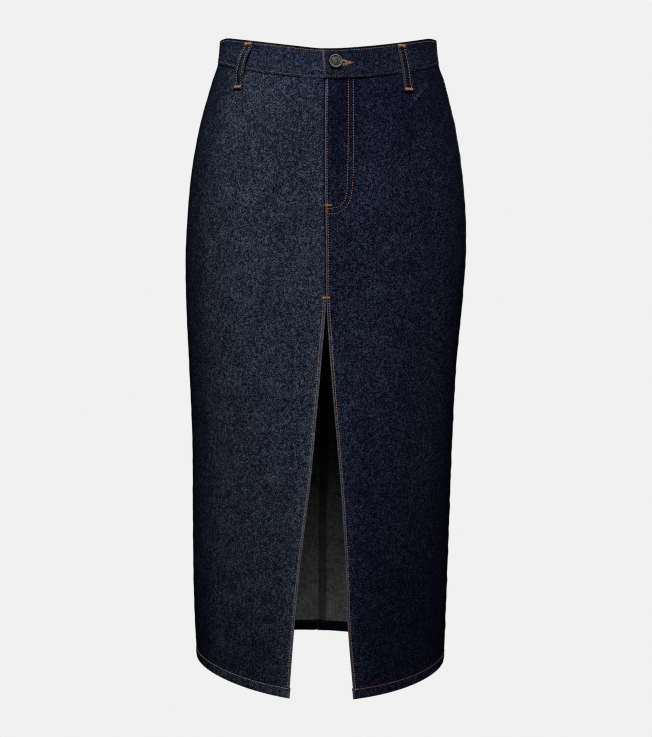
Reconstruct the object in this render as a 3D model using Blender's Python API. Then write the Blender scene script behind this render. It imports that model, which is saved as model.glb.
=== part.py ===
"""A denim midi skirt, held open as it is when worn: a straight, high-waisted skirt with a
lapped fly, a long slit up the centre front, a felled seam down the centre back, a two-piece
waistband with belt loops, and one shank button.

Metres, +Z up. The wearer faces -Y, so the wearer's left is +X. The origin is the middle of
the waist, half way up the waistband at the sides.

The cloth follows one surface. At any height it is a ring: two half ovals, one for the front
and one for the back, that meet at the side seams. A point on it has a half ("front" or
"back"), an arc length w from the ring's middle (positive towards the wearer's left), and a
height z.
"""

import math

import bmesh
import bpy
import numpy as np
from mathutils import Matrix, Vector

# Cloth and seams
CLOTH = 0.0012  # one layer of heavy denim
SEAM_GAP = 0.0003  # between pieces that are sewn together
BAND_WALL = 0.0026  # the waistband is folded double
BAND_PROUD = 0.0008  # how far the waistband stands out over the panels
HEM_DEPTH = 0.015
HEM_WALL = 0.0032  # three layers where the hem is turned up twice
FACING_DEPTH = 0.010  # the turned-in edge along the slit
FACING_WALL = 0.0023
EDGE_ROUND = 0.0004  # how much a folded edge drops at its very rim

# Centre front and centre back
SLIT_TOP = -0.3235
FRONT_UNDERLAP = 0.010  # how far the right front runs on beneath the left
UNDERLAP_CURVE = 0.012  # and the height over which it is cut away at the slit's top
BACK_LAP = 0.005  # each side of the centre back
LAP_RISE = (CLOTH + SEAM_GAP) / 2  # the upper layer moves out by this, the lower one in
LAP_FLAT = 0.012  # the lifted strip keeps its full rise this far in from its edge
LAP_RAMP = 0.014  # and sinks back to the surface over this
LAP_FADE = 0.050  # the lift dies away this far below the slit's top

# Waistband ends
BAND_EDGE_X = -0.0071  # the upper end's edge at the centre front
BAND_EDGE_LEAN = 0.0017  # the edge leans this far from its middle to its top and bottom
BAND_UNDERLAP = 0.036  # how far the lower end runs on beneath the upper one
BAND_RISE = (BAND_WALL + SEAM_GAP) / 2
BAND_RAMP_START, BAND_RAMP_END = 0.047, 0.070  # where the upper end sinks back

# Belt loops
LOOP_WIDTH = 0.013
LOOP_LAYER = 0.0013
LOOP_PAD = 0.008  # each end is turned under for this length
LOOP_DROP = 0.0243  # how far a loop reaches below the waistband
LOOP_EASE = 0.0002  # a loop clears the cloth's waves by this much more than a seam's gap

# Button
BUTTON_X, BUTTON_Z = 0.0094, -0.0236
CAP_RADIUS, CAP_HEIGHT = 0.0088, 0.0034
SHANK_RADIUS = 0.0024
TACK_RADIUS, TACK_HEIGHT = 0.0046, 0.0012
HOLE_LENGTH, HOLE_WIDTH, EYE_RADIUS = 0.021, 0.0034, 0.0032

# Grid of a panel: columns by their distance from the centre edge, then evenly to the side
# seam; rows by their distance above the hem, then evenly up to and on from the slit's top
NEAR_COLUMNS = (0.0, 0.0015, 0.0085, 0.0100, 0.0103, 0.0107, 0.0190, 0.0260)
FAR_COLUMNS = 11
HEM_ROWS = (0.0, 0.0012, 0.0150, 0.0153)
ROWS_BELOW = 13
ROWS_ABOVE = 10
BAND_STEP = BAND_UNDERLAP / 3

# The skirt's sections, from the waist down. sway is how far the ring's middle has drifted
# sideways; front and back are the depths ahead of and behind the side seams; a power of 2 is
# an ellipse, more is squarer and less is more pointed.
SECTION_COLUMNS = ("height", "half_width", "sway", "front", "back", "front_power", "back_power")
SECTIONS = (
    (0.020, 0.1426, 0.0000, 0.088, 0.094, 2.00, 2.05),
    (-0.016, 0.1466, 0.0000, 0.092, 0.099, 2.00, 2.05),
    (-0.040, 0.1546, 0.0000, 0.097, 0.106, 2.02, 2.08),
    (-0.065, 0.1618, -0.0005, 0.102, 0.113, 2.05, 2.10),
    (-0.090, 0.1684, -0.0010, 0.106, 0.120, 2.08, 2.10),
    (-0.130, 0.1766, -0.0015, 0.110, 0.128, 2.10, 2.10),
    (-0.170, 0.1824, -0.0020, 0.113, 0.133, 2.10, 2.10),
    (-0.210, 0.1862, -0.0021, 0.115, 0.135, 2.08, 2.10),
    (-0.265, 0.1886, -0.0032, 0.116, 0.134, 2.04, 2.08),
    (-0.330, 0.1866, -0.0052, 0.117, 0.130, 2.00, 2.04),
    (-0.410, 0.1816, -0.0073, 0.119, 0.126, 1.94, 2.00),
    (-0.520, 0.1772, -0.0080, 0.123, 0.122, 1.86, 1.96),
    (-0.630, 0.1757, -0.0098, 0.128, 0.120, 1.78, 1.92),
    (-0.740, 0.1738, -0.0110, 0.133, 0.120, 1.72, 1.88),
    (-0.845, 0.1700, -0.0106, 0.138, 0.120, 1.68, 1.86),
)

# Where the free edges of the slit hang, and the fly's folded edge above it, as X at heights.
EDGE_COLUMNS = ("height", "right_front", "left_front")
EDGES = (
    (-0.040, -0.0034, -0.0034),
    (-0.095, -0.0043, -0.0043),
    (-0.185, -0.0044, -0.0044),
    (-0.261, -0.0032, -0.0032),
    (-0.3235, -0.0030, -0.0024),
    (-0.400, -0.0086, 0.0022),
    (-0.480, -0.0157, 0.0088),
    (-0.560, -0.0231, 0.0158),
    (-0.660, -0.0355, 0.0221),
    (-0.750, -0.0442, 0.0256),
    (-0.845, -0.0516, 0.0336),
)

# The waist's edges and the hem on each quarter: the height at the middle of the front or back
# and at the side seam, and the power of the curve between them (1 is straight, more is
# flatter at the middle).
LINE_COLUMNS = ("quarter", "middle", "side", "power")
BAND_TOP = (
    ("front_left", -0.0060, 0.0210, 1.38),
    ("front_right", -0.0060, 0.0200, 1.12),
    ("back_left", 0.0130, 0.0155, 2.0),
    ("back_right", 0.0130, 0.0145, 2.0),
)
BAND_BOTTOM = (
    ("front_left", -0.0450, -0.0145, 1.55),
    ("front_right", -0.0450, -0.0130, 1.38),
    ("back_left", -0.0210, -0.0145, 2.0),
    ("back_right", -0.0210, -0.0130, 2.0),
)
HEM = (
    ("front_left", -0.8425, -0.8260, 2.2),
    ("front_right", -0.8425, -0.8205, 1.3),
    ("back_left", -0.8185, -0.8260, 0.9),
    ("back_right", -0.8185, -0.8205, 1.5),
)
TIP = 0.06  # share of a half over which a line rounds off at its middle
WAIST_DROP = 0.0055  # the front's top edge comes down by this from its crest to the side seam
WAIST_CREST = 0.76

# Soft folds in the cloth, each a ridge (or a trough, where rise is negative) between two
# points, given as X and height on its half.
FOLD_COLUMNS = ("half", "x_from", "z_from", "x_to", "z_to", "rise", "spread")
FOLDS = (
    ("front", 0.090, -0.088, 0.040, -0.262, 0.0030, 0.014),
    ("front", 0.052, -0.070, 0.040, -0.185, -0.0020, 0.012),
    ("front", 0.104, -0.078, 0.132, -0.044, 0.0012, 0.006),
    ("front", -0.118, -0.100, -0.128, -0.250, 0.0020, 0.020),
    ("front", -0.060, -0.215, -0.082, -0.430, -0.0018, 0.024),
    ("front", -0.112, -0.420, -0.098, -0.780, 0.0022, 0.024),
    ("front", 0.084, -0.330, 0.096, -0.720, 0.0020, 0.026),
    ("front", 0.128, -0.250, 0.134, -0.560, -0.0016, 0.020),
    ("back", -0.100, -0.075, -0.048, -0.150, 0.0016, 0.014),
    ("back", 0.098, -0.070, 0.056, -0.140, 0.0018, 0.013),
    ("back", -0.070, -0.290, -0.095, -0.640, 0.0026, 0.024),
    ("back", 0.074, -0.310, 0.088, -0.700, 0.0024, 0.026),
    ("back", -0.040, -0.330, -0.052, -0.560, -0.0020, 0.016),
    ("back", 0.118, -0.240, 0.128, -0.520, -0.0018, 0.020),
    ("back", -0.052, -0.720, -0.056, -0.860, 0.0060, 0.030),
)

# The arch is the belt's slack beyond a loop's turned-under ends, and the seat is how far it is
# lifted by the seam that it crosses.
LOOP_COLUMNS = ("name", "half", "x_top", "x_bottom", "arch", "seat")
LOOPS = (
    ("loop_front_right", "front", -0.1004, -0.1161, 0.0045, 0.0),
    ("loop_front_left", "front", 0.0918, 0.1027, 0.0014, 0.0),
    ("loop_back_right", "back", -0.0860, -0.0900, 0.0034, 0.0),
    ("loop_back_left", "back", 0.0860, 0.0900, 0.0038, 0.0),
    ("loop_back_centre", "back", 0.0000, 0.0000, 0.0048, LAP_RISE),
)

COLOURS = {
    "denim": ((0.020, 0.026, 0.050), 0.85, 0.0),
    "dark_metal": ((0.16, 0.16, 0.15), 0.38, 1.0),
}

# --- the surface -----------------------------------------------------------------------------


def read_table(rows, names, column, height):
    """A column of a table at any heights, as a smooth curve through the rows."""
    knots = np.array([row[0] for row in rows])[::-1]
    values = np.array([row[names.index(column)] for row in rows])[::-1]
    slopes = np.gradient(values, knots)
    z = np.clip(height, knots[0], knots[-1])
    i = np.clip(np.searchsorted(knots, z) - 1, 0, len(knots) - 2)
    span = knots[i + 1] - knots[i]
    t = (z - knots[i]) / span
    start = (2 * t**3 - 3 * t**2 + 1) * values[i] + (t**3 - 2 * t**2 + t) * span * slopes[i]
    end = (3 * t**2 - 2 * t**3) * values[i + 1] + (t**3 - t**2) * span * slopes[i + 1]
    return start + end


def section(column, z):
    return read_table(SECTIONS, SECTION_COLUMNS, column, z)


def oval(half, z, angle):
    """A point of a half's oval by its angle from the middle, and the way out from there."""
    a, b, n = (section(name, z) for name in ("half_width", half, half + "_power"))
    across, ahead = np.abs(np.sin(angle)), np.abs(np.cos(angle))
    radius = ((across / a) ** n + (ahead / b) ** n) ** (-1 / n)
    x, y = radius * across, radius * ahead
    out = np.stack([(x / a) ** (n - 1) / a, (y / b) ** (n - 1) / b], axis=-1)
    return x, y, out / np.linalg.norm(out, axis=-1, keepdims=True)


def quarter(half, z, steps=40):
    """A quarter of the ring at each height: angle, X and arc length from the middle to the side."""
    angle = np.linspace(0, math.pi / 2, steps)
    x, y, _ = oval(half, np.asarray(z, float)[..., None], angle)
    step = np.hypot(np.diff(x, axis=-1), np.diff(y, axis=-1))
    arc = np.concatenate([np.zeros(step.shape[:-1] + (1,)), np.cumsum(step, axis=-1)], axis=-1)
    return angle, x, arc


def look_up(value, table, result):
    """Reads result at the place where table reaches value, along the last axis."""
    i = np.clip((table < value[..., None]).sum(-1), 1, table.shape[-1] - 1)[..., None]
    low, high = (np.take_along_axis(table, k, -1)[..., 0] for k in (i - 1, i))
    r = np.broadcast_to(result, table.shape)
    start, end = (np.take_along_axis(r, k, -1)[..., 0] for k in (i - 1, i))
    return start + (end - start) * np.clip((value - low) / (high - low), 0, 1)


def side_length(half, z):
    """Arc length from the middle of a half to its side seam."""
    return quarter(half, z)[2][..., -1]


def arc_at(half, x, z):
    """The arc length w of the point at this X."""
    x, z = np.broadcast_arrays(np.asarray(x, float), np.asarray(z, float))
    _, xs, arc = quarter(half, z)
    off = x - section("sway", z)
    return np.sign(off) * look_up(np.abs(off), xs, arc)


def smooth_step(value, start, end):
    t = np.clip((value - start) / (end - start), 0, 1)
    return t * t * (3 - 2 * t)


def folds(half, x, z):
    """How far the soft folds lift the cloth at X and height z of a half."""
    lift = np.zeros(np.broadcast(x, z).shape)
    for side, x0, z0, x1, z1, rise, spread in FOLDS:
        if side != half:
            continue
        dx, dz = x1 - x0, z1 - z0
        along = ((x - x0) * dx + (z - z0) * dz) / (dx * dx + dz * dz)
        across = ((x - x0) * dz - (z - z0) * dx) / math.hypot(dx, dz)
        ends = smooth_step(along, -0.25, 0.2) * (1 - smooth_step(along, 0.75, 1.25))
        lift += rise * ends * np.exp(-((across / spread) ** 2))
    return lift


def surface(half, w, z, offset=0.0):
    """A point of the cloth's outer face, moved out by offset. It moves level, so that what is
    sewn on in layers keeps its heights."""
    w, z, offset = np.broadcast_arrays(*(np.asarray(v, float) for v in (w, z, offset)))
    angle, _, arc = quarter(half, z)
    x, y, out = oval(half, z, look_up(np.abs(w), arc, angle))
    x = section("sway", z) + np.sign(w) * x
    lift = folds(half, x, z) + offset
    facing = -1 if half == "front" else 1
    return np.stack([x + np.sign(w) * out[..., 0] * lift, facing * (y + out[..., 1] * lift), z], axis=-1)


def line_height(line, half, share):
    """The height of a seam or hem, where share runs from 0 at the middle to -1 or 1 at the sides."""
    along = (np.hypot(share, TIP) - TIP) / (math.hypot(1, TIP) - TIP)
    heights = {}
    for name, middle, side, power in line:
        heights[name] = middle + (side - middle) * np.clip(along, 0, 1) ** power
    return np.where(np.asarray(share) > 0, heights[half + "_left"], heights[half + "_right"])


def waist_height(half, share):
    """The height of the waistband's top edge. The front's crests a little ahead of the side seams."""
    height = line_height(BAND_TOP, half, share)
    if half == "front":
        height = height - WAIST_DROP * smooth_step(np.abs(share), WAIST_CREST, 1.0)
    return height


# --- meshes ----------------------------------------------------------------------------------


def make_object(name, bm, material):
    """Adds the mesh to the scene as one shaded object."""
    mesh = bpy.data.meshes.new(name)
    bm.normal_update()
    bm.to_mesh(mesh)
    bm.free()
    obj = bpy.data.objects.new(name, mesh)
    bpy.context.scene.collection.objects.link(obj)
    mesh.materials.append(material_named(material))
    mesh.shade_smooth()
    mesh.set_sharp_from_angle(angle=math.radians(35))
    return obj


def material_named(name):
    """The Principled material of that name, made on first use."""
    if name in bpy.data.materials:
        return bpy.data.materials[name]
    colour, roughness, metallic = COLOURS[name]
    material = bpy.data.materials.new(name)
    material.use_nodes = True
    shader = material.node_tree.nodes["Principled BSDF"]
    shader.inputs["Base Color"].default_value = (*colour, 1)
    shader.inputs["Roughness"].default_value = roughness
    shader.inputs["Metallic"].default_value = metallic
    return material


def wall_mesh(outer, inner, flip):
    """A closed wall between two grids of points: both faces and the rim round them."""
    bm = bmesh.new()
    rows, columns = outer.shape[:2]
    sheets = [[[bm.verts.new(p) for p in row] for row in grid] for grid in (outer, inner)]
    for sheet, turned in zip(sheets, (flip, not flip)):
        for i in range(rows - 1):
            for j in range(columns - 1):
                corners = [sheet[i][j], sheet[i][j + 1], sheet[i + 1][j + 1], sheet[i + 1][j]]
                bm.faces.new(corners[::-1] if turned else corners)
    rim = [(0, j) for j in range(columns)]
    rim += [(i, columns - 1) for i in range(1, rows)]
    rim += [(rows - 1, j) for j in range(columns - 2, -1, -1)]
    rim += [(i, 0) for i in range(rows - 2, 0, -1)]
    for (i, j), (k, m) in zip(rim, rim[1:] + rim[:1]):
        corners = [sheets[0][i][j], sheets[1][i][j], sheets[1][k][m], sheets[0][k][m]]
        bm.faces.new(corners[::-1] if flip else corners)
    return bm


def swept_mesh(loops, flip):
    """A closed solid swept through equal loops of points, with flat caps at its ends."""
    bm = bmesh.new()
    rings = [[bm.verts.new(p) for p in loop] for loop in loops]
    count = len(rings[0])
    for ring, following in zip(rings, rings[1:]):
        for k in range(count):
            corners = [ring[k], ring[(k + 1) % count], following[(k + 1) % count], following[k]]
            bm.faces.new(corners[::-1] if flip else corners)
    for cap, turned in ((rings[0], flip), (rings[-1], not flip)):
        bm.faces.new(cap if turned else cap[::-1])
    return bm


# --- panels ----------------------------------------------------------------------------------


def row_shares(half):
    """Rows above the hem's, as shares of the panel's height. One lies at the slit's top, and
    one where the underlap has its full width."""
    bottom, top = line_height(HEM, half, 0.0), line_height(BAND_BOTTOM, half, 0.0)
    slit, lap = ((z - bottom) / (top - bottom) for z in (SLIT_TOP, SLIT_TOP + UNDERLAP_CURVE))
    below = np.linspace(2 * HEM_DEPTH / (top - bottom), slit, ROWS_BELOW)
    return np.concatenate([below, np.linspace(lap, 1, ROWS_ABOVE)])[:, None]


def centre_edge(half, side, z):
    """Arc length of a panel's edge at the centre front or back."""
    if half == "back":
        return np.full(np.shape(z), -side * BACK_LAP)
    name = "left_front" if side > 0 else "right_front"
    edge = arc_at("front", read_table(EDGES, EDGE_COLUMNS, name, z), z)
    if side < 0:
        edge = edge + FRONT_UNDERLAP * smooth_step(z, SLIT_TOP, SLIT_TOP + UNDERLAP_CURVE)
    return edge


def panel_grid(half, side):
    """Arc lengths, heights and distances from the centre edge and the hem, row by row."""
    near = np.array(NEAR_COLUMNS)
    far = np.linspace(0, 1, FAR_COLUMNS + 1)[1:]
    shares = row_shares(half)
    hem_rows = np.array(HEM_ROWS)[:, None]
    z = np.full((len(hem_rows) + len(shares), len(near) + len(far)), -0.4)
    w = np.zeros(z.shape)
    for _ in range(5):  # the heights depend on the arc lengths, and the other way round
        share = w / side_length(half, z)
        bottom = line_height(HEM, half, share[0])
        top = line_height(BAND_BOTTOM, half, share[-1]) - SEAM_GAP
        z = np.concatenate([bottom + hem_rows, bottom + shares * (top - bottom)])
        start = centre_edge(half, side, z)
        seam = side * (side_length(half, z) - SEAM_GAP / 2)
        w[:, : len(near)] = start[:, : len(near)] + side * near
        first = start[:, len(near) :] + side * near[-1]
        w[:, len(near) :] = first + far * (seam[:, len(near) :] - first)
    return w, z, np.abs(w - start), z - bottom


def make_panel(name, half, side):
    """A quarter of the skirt. The wearer's left panel (side 1) laps over the right one."""
    w, z, inset, rise = panel_grid(half, side)
    lap = LAP_RISE * side * (1 - smooth_step(inset, LAP_FLAT, LAP_FLAT + LAP_RAMP))
    if half == "front":
        lap = lap * smooth_step(z, SLIT_TOP - LAP_FADE, SLIT_TOP)
    wall = np.full(w.shape, CLOTH)
    in_hem = rise < HEM_DEPTH + SEAM_GAP / 2
    if half == "front":
        wall[(inset < FACING_DEPTH + SEAM_GAP / 2) & (z < SLIT_TOP - 0.001)] = FACING_WALL
    elif side > 0:  # the hem's turn stops at the panel that it laps over
        in_hem &= inset > 2 * BACK_LAP + 1.5 * SEAM_GAP
    wall[in_hem] = HEM_WALL
    rounding = EDGE_ROUND * ((inset < 0.001) | (rise < 0.001))
    outer = surface(half, w, z, lap - rounding)
    inner = surface(half, w, z, lap - wall + rounding)
    flip = (side < 0) != (half == "back")
    return make_object(name, wall_mesh(outer, inner, flip), "denim")


# --- waistband -------------------------------------------------------------------------------


def band_profile():
    """The band's cross-section: share of its height, and offset from the panels' outer face."""
    out, back = BAND_PROUD, BAND_PROUD - BAND_WALL
    return (
        (0.00, out - 0.0004),
        (0.05, out),
        (0.50, out),
        (0.94, out),
        (1.00, out - 0.0008),
        (1.00, back + 0.0006),
        (0.94, back),
        (0.50, back),
        (0.05, back),
        (0.00, back + 0.0004),
    )


def band_stations(side):
    """(half, arc length) along one piece of the band, from its front end to the centre back."""
    front = side_length("front", 0.0)
    back = side_length("back", 0.0)
    start = BAND_EDGE_X if side > 0 else BAND_EDGE_X + BAND_UNDERLAP
    ahead = np.arange(0, front - side * start - BAND_STEP / 2, BAND_STEP) * side + start
    behind = np.linspace(back, SEAM_GAP / 2, round(back / BAND_STEP)) * side
    return [("front", w) for w in ahead] + [("back", w) for w in behind]


def band_lift(half, side, w):
    """How far the lap at the centre front lifts the band: out for the left piece, in for the right."""
    if half == "back":
        return 0.0
    inset = w - BAND_EDGE_X
    if side > 0:
        return BAND_RISE * (1 - smooth_step(inset, BAND_RAMP_START, BAND_RAMP_END))
    return -BAND_RISE * smooth_step(inset, BAND_UNDERLAP - BAND_RAMP_END, BAND_UNDERLAP - BAND_RAMP_START)


def band_loop(half, side, w, lean=0.0):
    """The points of one cross-section of the band. w is measured at the waist itself."""
    levels, offsets = np.array(band_profile()).T
    share = (w + lean * (1 - 2 * levels)) / side_length(half, 0.0)
    bottom = line_height(BAND_BOTTOM, half, share)
    z = bottom + levels * (waist_height(half, share) - bottom)
    return surface(half, share * side_length(half, z), z, offsets + band_lift(half, side, w))


def make_band(name, side):
    """Half of the waistband. The left piece ends in the buttonhole, over the right piece."""
    loops = []
    for i, (half, w) in enumerate(band_stations(side)):
        loops.append(band_loop(half, side, w, BAND_EDGE_LEAN if i == 0 else 0.0))
    return make_object(name, swept_mesh(loops, side > 0), "denim")


# --- button ----------------------------------------------------------------------------------


def button_place():
    """The button's place on the cloth's surface, and its axes: outwards, and along the band."""
    w = arc_at("front", BUTTON_X, BUTTON_Z)
    near = ((w, 0), (w + 0.004, 0), (w - 0.004, 0), (w, 0.004), (w, -0.004))
    centre, left, right, high, low = (Vector(surface("front", at, BUTTON_Z + up)) for at, up in near)
    along = (left - right).normalized()
    out = along.cross(high - low).normalized()
    turn = Matrix((along, out.cross(along), out)).transposed()
    return Matrix.Translation(centre) @ turn.to_4x4()


def turned_mesh(profile, steps):
    """A solid of revolution about Z from (radius, height) points that start and end on the axis."""
    bm = bmesh.new()
    ends = [bm.verts.new((0, 0, profile[i][1])) for i in (0, -1)]
    rings = []
    for radius, height in profile[1:-1]:
        angles = [math.tau * k / steps for k in range(steps)]
        rings.append([bm.verts.new((radius * math.cos(a), radius * math.sin(a), height)) for a in angles])
    for k in range(steps):
        n = (k + 1) % steps
        bm.faces.new((ends[0], rings[0][n], rings[0][k]))
        bm.faces.new((ends[1], rings[-1][k], rings[-1][n]))
        for low, high in zip(rings, rings[1:]):
            bm.faces.new((low[k], low[n], high[n], high[k]))
    return bm


def cut_buttonhole(band, place):
    """Cuts the keyhole through the upper end of the band: a round eye and a straight slot."""
    bm = bmesh.new()
    slot_angle = math.asin(HOLE_WIDTH / 2 / EYE_RADIUS)
    arc = [slot_angle + (math.tau - 2 * slot_angle) * k / 14 for k in range(15)]
    outline = [(EYE_RADIUS * math.cos(a), EYE_RADIUS * math.sin(a)) for a in arc]
    end = HOLE_LENGTH - HOLE_WIDTH / 2
    tail = [-math.pi / 2 + math.pi * k / 6 for k in range(7)]
    outline += [(end + HOLE_WIDTH / 2 * math.cos(a), HOLE_WIDTH / 2 * math.sin(a)) for a in tail]
    face = bm.faces.new([bm.verts.new((x, y, -0.006)) for x, y in outline])
    made = bmesh.ops.extrude_face_region(bm, geom=[face])
    top = [v for v in made["geom"] if isinstance(v, bmesh.types.BMVert)]
    bmesh.ops.translate(bm, verts=top, vec=(0, 0, 0.014))
    bmesh.ops.recalc_face_normals(bm, faces=bm.faces)
    cutter = make_object("buttonhole_cutter", bm, "denim")
    cutter.matrix_world = place
    cutter.hide_render = True
    cutter.display_type = "WIRE"
    cut = band.modifiers.new("buttonhole", "BOOLEAN")
    cut.operation = "DIFFERENCE"
    cut.object = cutter


def make_button(place):
    """The cap and its shank in one turned piece, and the tack's head behind the band."""
    under = BAND_PROUD - BAND_RISE + SEAM_GAP + 0.0002
    over = BAND_PROUD + BAND_RISE + SEAM_GAP + 0.0003
    top = over + CAP_HEIGHT
    cap = (
        (0, under),
        (SHANK_RADIUS, under),
        (SHANK_RADIUS, over + 0.0002),
        (CAP_RADIUS * 0.90, over),
        (CAP_RADIUS, over + CAP_HEIGHT * 0.30),
        (CAP_RADIUS, over + CAP_HEIGHT * 0.62),
        (CAP_RADIUS * 0.96, top - 0.0003),
        (CAP_RADIUS * 0.90, top),
        (CAP_RADIUS * 0.83, top - 0.0002),
        (CAP_RADIUS * 0.78, top - 0.0010),
        (CAP_RADIUS * 0.40, top - 0.0008),
        (0, top - 0.0007),
    )
    button = make_object("button", turned_mesh(cap, 28), "dark_metal")
    button.matrix_world = place
    back = BAND_PROUD - BAND_RISE - BAND_WALL - SEAM_GAP - 0.0001
    tack = (
        (0, back - TACK_HEIGHT),
        (TACK_RADIUS * 0.72, back - TACK_HEIGHT * 0.9),
        (TACK_RADIUS, back - TACK_HEIGHT * 0.35),
        (TACK_RADIUS * 0.96, back),
        (0, back),
    )
    head = make_object("button_tack", turned_mesh(tack, 20), "dark_metal")
    head.matrix_world = place


# --- belt loops ------------------------------------------------------------------------------


def loop_profile(height, arch):
    """A belt loop seen from its edge, as (distance down, distance out): a strip whose two
    ends are turned under, and which arches between them to leave room for a belt."""
    pad, layer = LOOP_PAD, LOOP_LAYER
    low, high = SEAM_GAP, SEAM_GAP + 2 * layer
    crest = high + arch
    outside = [(0.0, high - 0.0006), (0.0010, high), (pad, high), (pad + 0.009, crest - 0.0006)]
    outside += [(height * 0.5, crest + 0.0002), (height - pad - 0.011, crest - 0.0010)]
    outside += [(height - pad, high), (height - 0.0010, high), (height, high - 0.0006)]
    inside = [(height, low), (height - pad, low), (height - pad, low + layer * 0.9)]
    inside += [(height - pad - 0.011, crest - 0.0010 - layer), (height * 0.5, crest + 0.0002 - layer)]
    inside += [(pad + 0.009, crest - 0.0006 - layer), (pad, low + layer * 0.9), (pad, low), (0.0, low)]
    return outside + inside


def make_loop(name, half, x_top, x_bottom, arch, seat):
    """A belt loop across the band, from its top edge to below its lower seam."""
    share = arc_at(half, x_top, 0.0) / side_length(half, 0.0)
    top = waist_height(half, share) - 0.0012
    foot = line_height(BAND_BOTTOM, half, share)
    height = top - foot + LOOP_DROP
    down, out = np.array(loop_profile(height, arch)).T
    z = top - down
    over_band = 1 - smooth_step(down, top - foot + 0.003, height - LOOP_PAD)
    out = out + seat + LOOP_EASE + BAND_PROUD * over_band
    middle = arc_at(half, x_top + (x_bottom - x_top) * down / height, z)
    loops = [surface(half, middle + across, z, out) for across in (-LOOP_WIDTH / 2, 0, LOOP_WIDTH / 2)]
    return make_object(name, swept_mesh(loops, half == "back"), "denim")


def main():
    for obj in list(bpy.data.objects):
        bpy.data.objects.remove(obj)
    for half in ("front", "back"):
        make_panel(half + "_left", half, 1)
        make_panel(half + "_right", half, -1)
    upper = make_band("waistband_left", 1)
    make_band("waistband_right", -1)
    place = button_place()
    cut_buttonhole(upper, place)
    make_button(place)
    for loop in LOOPS:
        make_loop(*loop)


main()
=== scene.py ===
import math
from types import SimpleNamespace

import bpy
import numpy as np
from mathutils import Matrix, Vector


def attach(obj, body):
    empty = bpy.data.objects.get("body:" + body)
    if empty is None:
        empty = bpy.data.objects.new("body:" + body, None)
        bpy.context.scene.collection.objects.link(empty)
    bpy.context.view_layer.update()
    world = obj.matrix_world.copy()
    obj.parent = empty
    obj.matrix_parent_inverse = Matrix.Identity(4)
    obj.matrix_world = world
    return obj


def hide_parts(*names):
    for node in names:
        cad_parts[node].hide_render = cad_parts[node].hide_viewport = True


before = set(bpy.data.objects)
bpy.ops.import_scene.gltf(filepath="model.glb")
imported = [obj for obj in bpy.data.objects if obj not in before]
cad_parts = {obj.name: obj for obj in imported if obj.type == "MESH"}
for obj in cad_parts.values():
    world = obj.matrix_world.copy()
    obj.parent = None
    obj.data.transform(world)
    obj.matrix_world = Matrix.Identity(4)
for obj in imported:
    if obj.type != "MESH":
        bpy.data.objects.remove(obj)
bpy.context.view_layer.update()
bpy.ops.object.select_all(action="DESELECT")
print("frame loaded:", len(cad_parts), "nodes")

# The cloth follows one surface, in metres with the wearer facing -Y. At any height it is two half
# ovals. A place on it has a half, an arc length w from the half's middle (positive towards the
# wearer's left) and a height z.
cloth = {
    "thickness": 0.0010,
    "foldRadius": 0.00108,  # of a folded edge, on the face side
    "facing": 0.0085,  # width of the turned-in edge along the slit
    "backFacing": 0.0045,  # and of the one in the felled seam
    "cutRadius": 0.00015,  # of the edge that the felled seam hides
    "cutInset": 0.00115,
    "allowance": 0.0090,  # of the side seams, pressed open
    "tuck": 0.0010,  # how far a panel runs up under the waistband
    "slitTop": -0.3235,
    "flapTurn": 0.012,  # height over which the right front's facing opens out above the slit
    "lapFade": 0.050,  # how far below the slit's top the fronts' lap dies away
    "backLap": 0.005,
    "grooveDepth": 0.00022,  # along every row of stitches
    "grooveWidth": 0.0007,
    "pucker": 0.00016,
    "rowSpacing": 0.0036,
    "columnSpacing": 0.0027,
    "columnRun": 0.215,  # arc length over which the columns are spaced
}

# height, half width, sway, front depth, back depth, front power, back power
sectionNames = ("height", "halfWidth", "sway", "front", "back", "frontPower", "backPower")
skirtSections = (
    (0.020, 0.1426, 0.0000, 0.088, 0.094, 2.00, 2.05),
    (-0.016, 0.1466, 0.0000, 0.092, 0.099, 2.00, 2.05),
    (-0.040, 0.1546, 0.0000, 0.097, 0.106, 2.02, 2.08),
    (-0.065, 0.1618, -0.0005, 0.102, 0.113, 2.05, 2.10),
    (-0.090, 0.1684, -0.0010, 0.106, 0.120, 2.08, 2.10),
    (-0.130, 0.1766, -0.0015, 0.110, 0.128, 2.10, 2.10),
    (-0.170, 0.1824, -0.0020, 0.113, 0.133, 2.10, 2.10),
    (-0.210, 0.1862, -0.0021, 0.115, 0.135, 2.08, 2.10),
    (-0.265, 0.1886, -0.0032, 0.116, 0.134, 2.04, 2.08),
    (-0.330, 0.1866, -0.0052, 0.117, 0.130, 2.00, 2.04),
    (-0.410, 0.1816, -0.0073, 0.119, 0.126, 1.94, 2.00),
    (-0.520, 0.1772, -0.0080, 0.123, 0.122, 1.86, 1.96),
    (-0.630, 0.1757, -0.0098, 0.128, 0.120, 1.78, 1.92),
    (-0.740, 0.1738, -0.0110, 0.133, 0.120, 1.72, 1.88),
    (-0.845, 0.1700, -0.0106, 0.138, 0.120, 1.68, 1.86),
)

# height, X of the right front's edge, X of the left front's edge
edgeNames = ("height", "right", "left")
slitEdges = (
    (-0.040, -0.0034, -0.0034),
    (-0.095, -0.0043, -0.0043),
    (-0.185, -0.0044, -0.0041),
    (-0.261, -0.0032, -0.0027),
    (-0.3235, -0.0030, -0.0024),
    (-0.400, -0.0086, 0.0022),
    (-0.480, -0.0157, 0.0088),
    (-0.560, -0.0231, 0.0158),
    (-0.660, -0.0355, 0.0221),
    (-0.750, -0.0442, 0.0256),
    (-0.845, -0.0516, 0.0336),
)

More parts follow.
